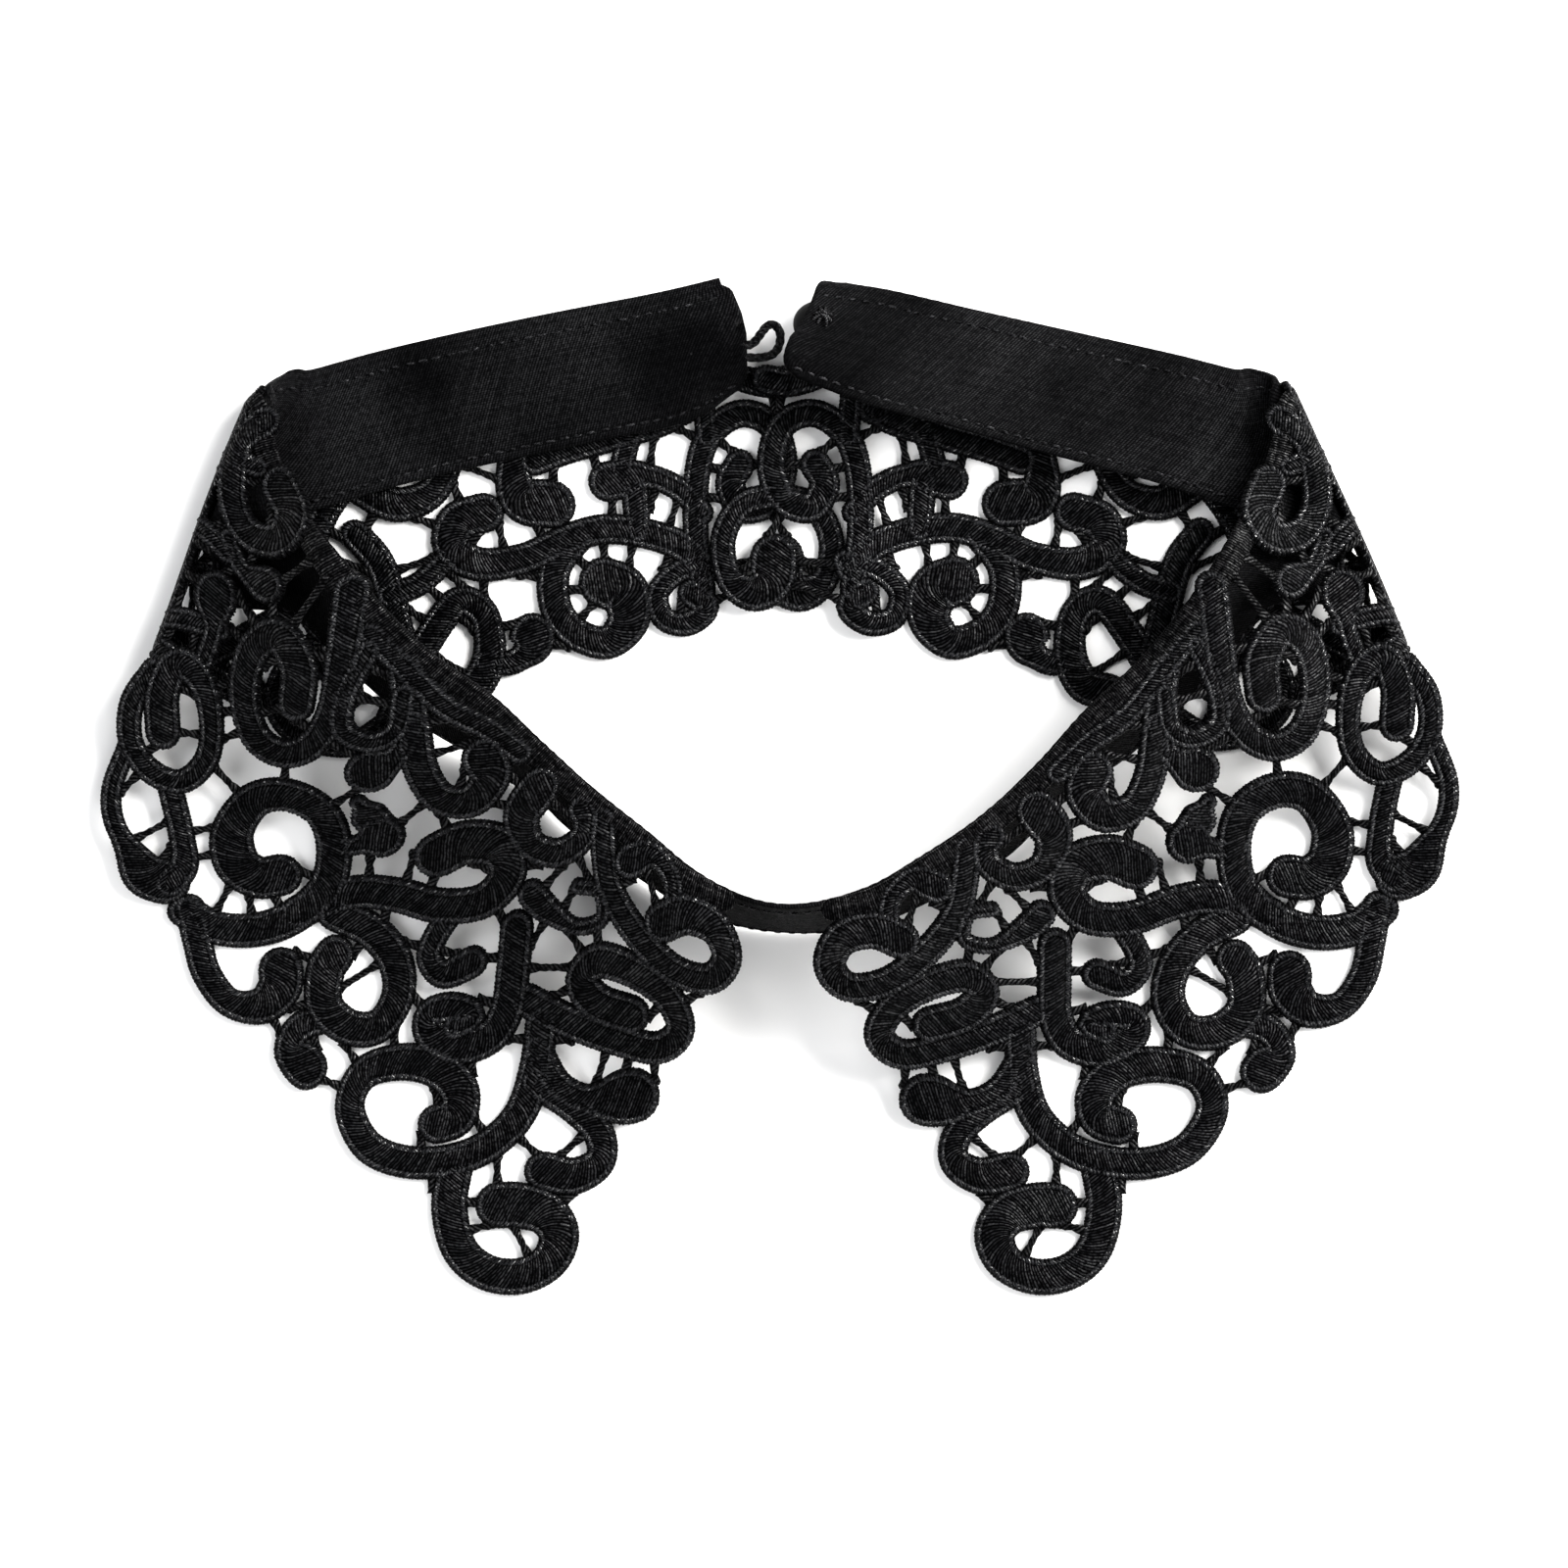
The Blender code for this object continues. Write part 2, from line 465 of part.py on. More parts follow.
def bar_discs(bars):
    rows = []
    for a, b in bars:
        reach = (b - a) / (np.linalg.norm(b - a) + 1e-9) * 0.5
        t = np.linspace(0, 1, 24)[:, None]
        line = (a - reach) + (b - a + 2 * reach) * t
        rows.append(np.column_stack((line, np.full(len(line), BAR_WIDTH / 2))))
    return np.vstack(rows)


def contour_loops(field):
    """Closed loops where the field crosses zero, as point arrays."""
    v = field.value
    inside = v < 0
    mixed = np.zeros((v.shape[0] - 1, v.shape[1] - 1), dtype=int)
    for bit, (di, dj) in enumerate(((0, 0), (1, 0), (1, 1), (0, 1))):
        mixed |= inside[di:di + mixed.shape[0], dj:dj + mixed.shape[1]] << bit
    cases = {1: ((3, 0),), 2: ((0, 1),), 3: ((3, 1),), 4: ((1, 2),), 5: ((3, 0), (1, 2)), 6: ((0, 2),),
             7: ((3, 2),), 8: ((2, 3),), 9: ((2, 0),), 10: ((0, 1), (2, 3)), 11: ((2, 1),), 12: ((1, 3),),
             13: ((1, 0),), 14: ((0, 3),)}
    follow = {}
    place = {}
    for i, j in np.argwhere((mixed > 0) & (mixed < 15)):
        corner = ((i, j), (i + 1, j), (i + 1, j + 1), (i, j + 1))
        for a, b in cases[mixed[i, j]]:
            keys = []
            for side in (a, b):
                p, q = sorted((corner[side], corner[(side + 1) % 4]))
                key = (p, q)
                if key not in place:
                    t = v[p] / (v[p] - v[q])
                    place[key] = field.low + GRID_STEP * (np.array(p) * (1 - t) + np.array(q) * t)
                keys.append(key)
            follow[keys[0]] = keys[1]
    loops = []
    while follow:
        first, current = follow.popitem()
        loop = [first]
        while current != first:
            loop.append(current)
            current = follow.pop(current)
        loops.append(np.array([place[key] for key in loop]))
    return loops


def simplify(points, tolerance):
    """Keeps the loop points that its shape needs, by splitting at the farthest point."""
    far = int(np.argmax(np.linalg.norm(points - points[0], axis=1)))
    ring = np.vstack((points, points[:1]))
    keep = {0, far}
    stack = [(0, far), (far, len(points))]
    while stack:
        a, b = stack.pop()
        if b - a < 2:
            continue
        chord = ring[b] - ring[a]
        offset = ring[a + 1:b] - ring[a]
        size = np.linalg.norm(chord)
        away = (np.abs(chord[0] * offset[:, 1] - chord[1] * offset[:, 0]) / size if size > 1e-9
                else np.linalg.norm(offset, axis=1))
        worst = int(np.argmax(away))
        if away[worst] > tolerance:
            middle = a + 1 + worst
            keep.add(middle)
            stack += [(a, middle), (middle, b)]
    return points[sorted(k for k in keep if k < len(points))]


def loop_area(points):
    x, y = points.T
    return 0.5 * float(np.sum(x * np.roll(y, -1) - np.roll(x, -1) * y))


def split_long(points):
    """Adds points to long edges, closer together where the lace bends round the roll."""
    out = []
    for a, b in zip(points, np.roll(points, -1, axis=0)):
        out.append(a)
        along, inward = roll_coordinates(np.array([a, b, (a + b) / 2]))
        bent = (inward.min() < 1.0) & (inward.max() > -ROLL_ARC - 1.0) & (along.min() < ROLL_END + 1)
        limit = 2.4 if bent else 6.0
        count = int(np.ceil(np.linalg.norm(b - a) / limit))
        for k in range(1, count):
            out.append(a + (b - a) * k / count)
    return np.array(out)


def lace_region():
    """Outer loop and gap loops of the lace in the flat pattern."""
    strokes = stroke_discs() + [heading_discs()]
    field = Field(np.vstack(strokes))
    cut_neck(field)
    bars = thread_bars(strokes, field)
    field.add(bar_discs(bars))
    cut_neck(field)
    loops = contour_loops(field)
    outer = max(loops, key=lambda loop: abs(loop_area(loop)))
    gaps = []
    for loop in loops:
        if loop is outer or not inside_polygon(loop[:1], outer)[0]:
            continue
        size = np.ptp(loop, axis=0)
        if np.hypot(*size) > SMALLEST_GAP * 1.05 and abs(loop_area(loop)) > 4.0:
            gaps.append(loop)
    gaps.sort(key=lambda loop: -abs(loop_area(loop)))
    gaps = [split_long(simplify(loop, 0.30)) for loop in gaps[:MOST_GAPS]]
    return split_long(simplify(outer, 0.25)), gaps, bars


def cut_neck(field):
    """Nothing reaches past the neck seam, and the outer edge has its notch at the end of the roll."""
    gx = field.low[0] + GRID_STEP * np.arange(field.shape[0])
    gy = field.low[1] + GRID_STEP * np.arange(field.shape[1])
    grid = np.array(np.meshgrid(gx, gy, indexing="ij")).reshape(2, -1).T
    line = spline(NECK_POINTS, 1.5)
    neck = np.vstack((line, (line[-1] + (-30.0, 30.0)), (-60.0, 160.0), (-60.0, line[0][1])))
    edge, _ = nearest_on_line(grid, NECK_POINTS, NECK_HEIGHTS)
    back_end = (NECK_POINTS[-1] - grid) @ np.array((0.388, 0.921)) < 0
    past = inside_polygon(grid, neck) & ~back_end
    value = field.value.reshape(-1)
    value[past] = np.maximum(value[past], np.minimum(edge[past], field.CAP))
    along, inward = roll_coordinates(grid)
    middle = 0.5 * (ROLL_END + FLAT_START)
    notch = np.minimum(1.5 - np.abs(along - middle), np.minimum(-1.0 - inward, inward + ROLL_ARC + 30))
    np.maximum(value, np.minimum(notch, field.CAP), out=value)
    field.value = value.reshape(field.shape)


def interior_points(loops):
    """A loose grid of extra points, close together only round the roll."""
    outer = loops[0]
    low, high = outer.min(axis=0), outer.max(axis=0)
    coarse = [(x, y) for k, y in enumerate(np.arange(low[1], high[1], 5.2))
              for x in np.arange(low[0] + (k % 2) * 3.0, high[0], 6.0)]
    coarse = np.array(coarse)
    along, inward = roll_coordinates(coarse)
    coarse = coarse[(inward > 2.0) | (inward < -ROLL_ARC - 2.0) | (along > 48)]
    fine_along, fine_inward = np.meshgrid(np.arange(-6.0, 46.0, 3.6), np.linspace(0.4, -ROLL_ARC - 0.4, 7))
    fine = from_roll(fine_along.ravel(), fine_inward.ravel())
    points = np.vstack((coarse, fine))
    points = points[inside_polygon(points, outer)]
    for gap in loops[1:]:
        points = points[~inside_polygon(points, gap)]
    rim = np.vstack(loops)
    clear = np.array([np.min(np.linalg.norm(rim - p, axis=1)) > 1.3 for p in points])
    return points[clear]


def lace_wall(name, side, outer, gaps):
    """Triangulates the region, lays it on the middle surface and gives it LACE_WALL of thickness."""
    loops = [outer] + gaps
    points, edges, start = [], [], 0
    for loop in loops:
        points += [Vector(p) for p in loop]
        edges += [(start + i, start + (i + 1) % len(loop)) for i in range(len(loop))]
        start += len(loop)
    points += [Vector(p) for p in interior_points(loops)]
    flat, _, faces, _, _, _ = delaunay_2d_cdt(points, edges, [], 0, 1e-5)
    flat = np.array([tuple(p) for p in flat])
    faces = np.array([f for f in faces])
    centre = flat[faces].mean(axis=1)
    keep = inside_polygon(centre, outer)
    for gap in gaps:
        keep &= ~inside_polygon(centre, gap)
    faces = largest_patch(faces[keep])
    used, index = np.unique(faces, return_inverse=True)
    faces = index.reshape(-1, 3)
    flat = flat[used]
    middle = place_lace(flat, side)
    normal = lace_normals(flat, side) * LACE_WALL / 2
    count = len(flat)
    vertices = np.vstack((middle + normal, middle - normal)) * MM
    if side < 0:
        faces = faces[:, ::-1]
    rim = boundary_edges(faces)
    sides = [(a, a + count, b + count, b) for a, b in rim]
    polygons = [tuple(f) for f in faces] + [tuple(f[::-1] + count) for f in faces] + sides
    mesh = bpy.data.meshes.new(name)
    mesh.from_pydata([tuple(v) for v in vertices], [], polygons)
    return finish_object(name, mesh)


def largest_patch(faces):
    """The faces joined to each other by shared corners, of the biggest such group."""
    parent = {}

    def root(k):
        while parent.setdefault(k, k) != k:
            parent[k] = parent[parent[k]]
            k = parent[k]
        return k

    for a, b, c in faces:
        parent[root(a)] = root(b)
        parent[root(b)] = root(c)
    roots = np.array([root(f[0]) for f in faces])
    names, counts = np.unique(roots, return_counts=True)
    return faces[roots == names[np.argmax(counts)]]


def boundary_edges(faces):
    """Directed edges that only one face has."""
    directed = {(a, b) for f in faces for a, b in zip(f, np.roll(f, -1))}
    return [(a, b) for a, b in directed if (b, a) not in directed]


def finish_object(name, mesh):
    bm = bmesh.new()
    bm.from_mesh(mesh)
    bmesh.ops.triangulate(bm, faces=[f for f in bm.faces if len(f.verts) > 4])
    bmesh.ops.recalc_face_normals(bm, faces=bm.faces[:])
    bm.to_mesh(mesh)
    bm.free()
    thing = bpy.data.objects.new(name, mesh)
    bpy.context.scene.collection.objects.link(thing)
    return thing


def band_rulings(side):
    """Top and foot edge points of half the band, closure end first, in millimetres."""
    axis_z = LOW_Z + ROLL_RADIUS
    radius = ROLL_RADIUS - LACE_WALL / 2 - 2 * SEAM_GAP - BAND_WALL / 2
    tops, feet = [], []

    def station(px, py, z, angle, length, foot_z):
        top = np.append(to_mm([(px, py)])[0], z)
        run = math.sqrt(max(length ** 2 - (foot_z - z) ** 2, 0.0))
        turn = math.radians(angle)
        tops.append(top)
        feet.append(np.array((top[0] + run * math.cos(turn), top[1] + run * math.sin(turn), foot_z)))

    station(*BAND_ENDS[side])
    for px, py, z, angle, length, foot_z in BAND_BACK[1:]:
        if side < 0:
            z, foot_z = 2.2, 2.2 + 0.13 * (foot_z - 2.2)
        station(px, py, z, angle, length, foot_z)
    for theta in np.linspace(math.pi, 0, 5):
        share = 1 - theta / math.pi
        along = BAND_ROLL_TOP[0] + (BAND_ROLL_TOP[1] - BAND_ROLL_TOP[0]) * share
        out = -radius * math.sin(theta)
        z = axis_z + radius * math.cos(theta)
        for reach, rows in ((along, tops), (along + BAND_ROLL_LENGTH, feet)):
            rows.append(np.append(AXIS_START + ALONG * reach + INWARD * out, z))
    for px, py, _, angle, length, foot_z in BAND_FRONT:
        z = front_height(to_mm([(px, py)]))[0]
        z -= 1.7 + 0.9 * math.exp(-((px - CORNER_MIDDLE) / 16.0) ** 2)
        station(px, py, z, angle, length, foot_z)
    tops, feet = np.array(tops), np.array(feet)
    if side < 0:
        front = len(BAND_FRONT)
        shift = pull_in(tops[-front:], tops[-front:, :2]) - tops[-front:]
        tops[-front:] += shift
        feet[-front:] += shift
        tops[:, 0] *= -1
        feet[:, 0] *= -1
    return tops, feet


def smooth_rows(rows, knots, step):
    """Hermite curve through rows at uneven knots, each tangent weighted by the gaps on its two sides."""
    gap = np.diff(knots)
    slope = np.diff(rows, axis=0) / gap[:, None]
    tangent = np.vstack((slope[:1], slope[-1:]))
    inner = (slope[:-1] * gap[1:, None] + slope[1:] * gap[:-1, None]) / (gap[:-1] + gap[1:])[:, None]
    tangent = np.vstack((tangent[:1], inner, tangent[1:]))
    out = []
    for i, width in enumerate(gap):
        t = np.linspace(0, 1, max(2, int(np.ceil(width / step))), endpoint=False)[:, None]
        out.append((2 * t ** 3 - 3 * t ** 2 + 1) * rows[i] + (t ** 3 - 2 * t ** 2 + t) * width * tangent[i]
                   + (3 * t ** 2 - 2 * t ** 3) * rows[i + 1] + (t ** 3 - t ** 2) * width * tangent[i + 1])
    return np.vstack(out + [rows[-1:]])


def lie_of_band(grid):
    """The band's grid moved with the half that each point belongs to."""
    points = grid.reshape(-1, 3)
    moved = np.where(points[:, :1] > 0, shift_to_lie(points, 1), shift_to_lie(points, -1))
    return moved.reshape(grid.shape)


def neckband():
    """One strip from closure end to closure end, ruled from its top edge to its foot edge."""
    right, left = band_rulings(1), band_rulings(-1)
    rows = np.hstack([np.vstack((r, l[::-1][1:])) for r, l in zip(right, left)])
    moved = np.linalg.norm(np.diff(rows, axis=0), axis=1)
    rows = smooth_rows(rows, np.concatenate(([0.0], np.cumsum(moved))), 7.0)
    columns = 4
    share = np.linspace(0, 1, columns + 1)[None, :, None]
    grid = lie_of_band(rows[:, None, :3] * (1 - share) + rows[:, None, 3:] * share)
    return sheet_solid("neckband", grid, BAND_WALL)


def sheet_solid(name, grid, wall):
    """A closed wall about a grid of middle-surface points in millimetres."""
    du = np.gradient(grid, axis=0)
    dv = np.gradient(grid, axis=1)
    normal = np.cross(du, dv)
    normal /= np.linalg.norm(normal, axis=2)[:, :, None]
    rows, columns = grid.shape[:2]
    count = rows * columns
    vertices = np.vstack(((grid + normal * wall / 2).reshape(-1, 3),
                          (grid - normal * wall / 2).reshape(-1, 3))) * MM
    faces = []
    for i in range(rows - 1):
        for j in range(columns - 1):
            a, b = i * columns + j, (i + 1) * columns + j
            faces.append((a, b, b + 1, a + 1))
            faces.append((a + count, a + 1 + count, b + 1 + count, b + count))
    rim = [(i * columns, (i + 1) * columns) for i in range(rows - 1)]
    rim += [((rows - 1) * columns + j, (rows - 1) * columns + j + 1) for j in range(columns - 1)]
    rim += [((i + 1) * columns - 1 + columns, (i + 1) * columns - 1) for i in reversed(range(rows - 1))]
    rim += [(j + 1, j) for j in reversed(range(columns - 1))]
    faces += [(b, a, a + count, b + count) for a, b in rim]
    mesh = bpy.data.meshes.new(name)
    mesh.from_pydata([tuple(v) for v in vertices], [], faces)
    return finish_object(name, mesh)


def ring_tube(name, path, radius, sides):
    """A round cord along an open path with flat caps, millimetres."""
    path = np.asarray(path)
    tangent = np.gradient(path, axis=0)
    tangent /= np.linalg.norm(tangent, axis=1)[:, None]
    up = np.array((0.0, 0.0, 1.0))
    right = np.cross(tangent, up)
    right /= np.linalg.norm(right, axis=1)[:, None]
    lift = np.cross(right, tangent)
    turn = np.linspace(0, 2 * math.pi, sides, endpoint=False)
    rings = (path[:, None, :] + radius * (np.cos(turn)[None, :, None] * right[:, None, :]
                                          + np.sin(turn)[None, :, None] * lift[:, None, :]))
    faces = []
    for i in range(len(path) - 1):
        for j in range(sides):
            a, b = i * sides + j, i * sides + (j + 1) % sides
            faces.append((a, b, b + sides, a + sides))
    faces.append(tuple(range(sides)))
    faces.append(tuple(reversed(range((len(path) - 1) * sides, len(path) * sides))))
    mesh = bpy.data.meshes.new(name)
    mesh.from_pydata([tuple(v) for v in rings.reshape(-1, 3) * MM], [], faces)
    return finish_object(name, mesh)


# The button under the band's right end: distances along the band and across it, and its own sizes (mm)
BUTTON_ALONG = 2.4
BUTTON_ACROSS = 7.2
BUTTON_RADIUS = 4.8
BUTTON_SHANK = 0.8
BUTTON_HEIGHT = 2.6
LOOP_RADIUS = 0.7
# Centre line of the loop, from the left band end round and back: x, y (pixels) and z (mm)
LOOP_POINTS = (
    (757, 352, 3.0), (765, 353, 3.3), (771, 349, 3.7), (777, 341, 4.1), (783, 334, 4.5), (790, 333, 4.8),
    (796, 341, 4.8), (795, 354, 4.5), (788, 363, 4.2), (776, 366, 3.7), (767, 366, 3.4), (760, 365, 3.2),
)


def band_end_frame():
    """Place on the band's right end under which the button sits, and its axes along, across, out."""
    tops, feet = band_rulings(1)
    across = (feet[0] - tops[0]) / np.linalg.norm(feet[0] - tops[0])
    along = (tops[1] - tops[0]) / np.linalg.norm(tops[1] - tops[0])
    out = np.cross(along, across)
    out /= np.linalg.norm(out)
    along = np.cross(across, out)
    return tops[0] + across * BUTTON_ACROSS + along * BUTTON_ALONG, along, across, out


def button():
    """A flat-backed dome turned about its own axis, hanging under the band's end."""
    centre, along, across, out = band_end_frame()
    down = -out if out[2] > 0 else out
    base = BAND_WALL / 2 + BUTTON_SHANK
    profile = ((0.0, base), (0.62, base), (0.95, base + 0.5), (1.0, base + 1.1), (0.86, base + 1.9),
               (0.5, base + 2.5), (0.0, base + BUTTON_HEIGHT))
    sides = 20
    bm = bmesh.new()
    rings = []
    for share, depth in profile:
        if share == 0.0:
            rings.append([bm.verts.new(tuple((centre + down * depth) * MM))])
            continue
        ring = []
        for k in range(sides):
            turn = 2 * math.pi * k / sides
            offset = (along * math.cos(turn) + across * math.sin(turn)) * BUTTON_RADIUS * share
            ring.append(bm.verts.new(tuple((centre + offset + down * depth) * MM)))
        rings.append(ring)
    for low, high in zip(rings[:-1], rings[1:]):
        for k in range(sides):
            if len(low) == 1:
                bm.faces.new((low[0], high[k], high[(k + 1) % sides]))
            elif len(high) == 1:
                bm.faces.new((low[k], high[0], low[(k + 1) % sides]))
            else:
                bm.faces.new((low[k], high[k], high[(k + 1) % sides], low[(k + 1) % sides]))
    mesh = bpy.data.meshes.new("button")
    bm.to_mesh(mesh)
    bm.free()
    return finish_object("button", mesh)


def loop():
    """The cord loop that stands off the left end of the band and goes over the button."""
    points = np.array(LOOP_POINTS, dtype=float)
    route = np.column_stack((to_mm(points[:, :2]), points[:, 2]))
    return ring_tube("loop", spline(route, 0.8), LOOP_RADIUS, 10)


def give_material(thing, name, colour, roughness):
    material = bpy.data.materials.get(name) or bpy.data.materials.new(name)
    material.use_nodes = True
    shader = material.node_tree.nodes["Principled BSDF"]
    shader.inputs["Base Color"].default_value = (*colour, 1.0)
    shader.inputs["Roughness"].default_value = roughness
    shader.inputs["Metallic"].default_value = 0.0
    material.diffuse_color = (*colour, 1.0)
    thing.data.materials.append(material)


def centre_on_origin(things):
    """Moves all meshes so that the whole collar's box is centred over the origin and rests on z = 0."""
    corners = np.vstack([[v.co[:] for v in thing.data.vertices] for thing in things])
    low, high = corners.min(axis=0), corners.max(axis=0)
    shift = Vector((-(low[0] + high[0]) / 2, -(low[1] + high[1]) / 2, -low[2]))
    for thing in things:
        for vertex in thing.data.vertices:
            vertex.co += shift
    print("shift", tuple(round(s, 6) for s in shift), "size", high - low)


for old in list(bpy.data.objects):
    bpy.data.objects.remove(old)
outer_loop, gap_loops, bar_list = lace_region()
print("gaps", len(gap_loops), "bars", len(bar_list), "outer points", len(outer_loop))
pieces = [lace_wall("lace_right", 1, outer_loop, gap_loops), lace_wall("lace_left", -1, outer_loop, gap_loops),
          neckband(), button(), loop()]
give_material(pieces[0], "lace_thread", (0.012, 0.012, 0.014), 0.62)
give_material(pieces[1], "lace_thread", (0.012, 0.012, 0.014), 0.62)
give_material(pieces[2], "twill", (0.014, 0.014, 0.016), 0.7)
give_material(pieces[3], "button_black", (0.01, 0.01, 0.011), 0.3)
give_material(pieces[4], "cord_black", (0.012, 0.012, 0.014), 0.6)
centre_on_origin(pieces)
for piece in pieces:
    print(piece.name, sum(len(p.vertices) - 2 for p in piece.data.polygons), "triangles")
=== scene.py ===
"""A detachable collar of black guipure lace on a twill neckband, laid down open at the centre back.

The two lace falls lie with their backs inside up under the band, roll over at the sides and end in the two
front points, right side up.  Lengths are in millimetres until a mesh is filled, which takes metres.
Sketch points are pixels of the photograph, six to the millimetre, for the half at +X.
"""
import math

import bpy
import numpy as np
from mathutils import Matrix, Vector


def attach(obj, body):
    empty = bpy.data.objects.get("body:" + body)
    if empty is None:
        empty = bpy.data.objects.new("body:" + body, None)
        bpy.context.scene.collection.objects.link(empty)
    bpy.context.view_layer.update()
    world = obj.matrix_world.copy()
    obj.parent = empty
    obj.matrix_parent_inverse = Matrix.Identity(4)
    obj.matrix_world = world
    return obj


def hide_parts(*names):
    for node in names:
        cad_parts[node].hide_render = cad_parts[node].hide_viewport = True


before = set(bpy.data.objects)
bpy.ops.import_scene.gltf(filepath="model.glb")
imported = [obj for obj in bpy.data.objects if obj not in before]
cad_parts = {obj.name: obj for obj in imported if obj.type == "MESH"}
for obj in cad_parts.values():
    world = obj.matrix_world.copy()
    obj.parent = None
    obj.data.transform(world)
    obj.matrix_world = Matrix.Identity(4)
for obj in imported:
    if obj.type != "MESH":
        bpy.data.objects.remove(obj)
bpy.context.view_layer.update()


# Camera, floor and studio light
# The collar lies on a white table and is seen from straight above.  A large soft light stands at the upper
# right, a weaker one at the left, and the white surroundings fill the rest.
MM = 0.001
PIXELS_PER_MM = 6.0
SKETCH_CENTRE = (793.0, 800.0)
# The collar was moved by this much (mm) when its box was centred over the origin
LAID_SHIFT = np.array((-0.492, 0.424, 0.0))
# Lens: height over the table (m), sensor width (mm) and the picture's side (pixels)
CAMERA_HEIGHT = 1.5
SENSOR = 36.0
PICTURE_SIDE = 1600.0
# The table's top is drawn this far (mm) under the frame's floor, because the lowest stitches reach below it
TABLE_DROP = 0.2


def laid(points):
    """Millimetres about the sketch's middle to metres in the shared frame."""
    return (np.asarray(points, dtype=float) + LAID_SHIFT) * MM


camera_data = bpy.data.cameras.new("camera")
camera_data.sensor_width = SENSOR
camera_data.lens = SENSOR * CAMERA_HEIGHT / (PICTURE_SIDE / PIXELS_PER_MM * MM)
camera_data.clip_end = 10.0
camera = bpy.data.objects.new("camera", camera_data)
bpy.context.scene.collection.objects.link(camera)
picture_middle = laid(((PICTURE_SIDE / 2 - SKETCH_CENTRE[0]) / PIXELS_PER_MM, 0.0, 0.0))
camera.location = (picture_middle[0], picture_middle[1], CAMERA_HEIGHT)
bpy.context.scene.camera = camera


def soft_light(name, place, aim, size, watts, colour=(1.0, 1.0, 1.0)):
    """An area light at place that faces aim."""
    data = bpy.data.lights.new(name, "AREA")
    data.shape = "RECTANGLE"
    data.size, data.size_y = size
    data.energy = watts
    data.color = colour
    lamp = bpy.data.objects.new(name, data)
    bpy.context.scene.collection.objects.link(lamp)
    lamp.location = place
    lamp.rotation_euler = (Vector(aim) - Vector(place)).to_track_quat("-Z", "Y").to_euler()
    return lamp


soft_light("key light", (0.80, 0.48, 0.62), (0.0, 0.0, 0.0), (0.75, 0.75), 46.0, (1.0, 0.99, 0.97))
soft_light("side light", (-0.8, 0.1, 0.75), (0.0, 0.0, 0.0), (0.7, 0.7), 6.0, (0.97, 0.98, 1.0))
soft_light("front light", (0.1, -0.9, 0.9), (0.0, 0.0, 0.0), (0.8, 0.6), 6.0)

world = bpy.data.worlds.new("white surroundings")
world.use_nodes = True
world.node_tree.nodes["Background"].inputs["Color"].default_value = (1.0, 1.0, 1.0, 1.0)
world.node_tree.nodes["Background"].inputs["Strength"].default_value = 0.44
bpy.context.scene.world = world
bpy.context.scene.view_settings.view_transform = "Standard"

bpy.ops.mesh.primitive_plane_add(size=6.0, location=(0.0, 0.0, -TABLE_DROP * MM))
table = bpy.context.object
table.name = "table"
table_finish = bpy.data.materials.new("white table")
table_finish.use_nodes = True
table_finish.node_tree.nodes["Principled BSDF"].inputs["Base Color"].default_value = (0.93, 0.93, 0.93, 1.0)
table_finish.node_tree.nodes["Principled BSDF"].inputs["Roughness"].default_value = 0.9
table.data.materials.append(table_finish)


# How the lace lies
# Each fall is one flat piece of lace.  Its pattern is drawn in the plane of the front, right side up, and
# runs on past the side roll as if the roll and the back were opened out flat beside it.
BAND_WIDTH = 22.0
BAND_WALL = 1.0
LACE_WALL = 1.3
# Room left between band and lace at the seam, and width of the plain strip along the neck edge
SEAM_GAP = 0.3
HEADING = 4.0
# The lace bends round the side roll with this radius, and comes down from the neck edge over this reach
ROLL_RADIUS = 3.2
FALL_REACH = 46.0
# The side roll's outer edge: where it starts at the neck (pixels), its direction, where the lace ends on it
# and, past the notch, where the flat front goes on (mm along it)
ROLL_START = (1322.0, 408.0)
ROLL_DIRECTION = (0.423, -0.906)
ROLL_END = 45.5
FLAT_START = 48.5
# The front lies this much higher where the back is under it: past this place, reached over this span
FRONT_REST = 1.9
REST_START = -8.0
REST_SPAN = 14.0
# The roll's crown comes down past this place along it, over this span, and gives way to the front's own
# height over this distance inward
CROWN_END = 44.0
CROWN_SPAN = 26.0
CROWN_BLEND = 20.0
# The right half's back end lies over the left one: rise, where it starts outward of the middle, its span
BACK_LAP = 1.65
LAP_START = 22.0
LAP_SPAN = 9.0

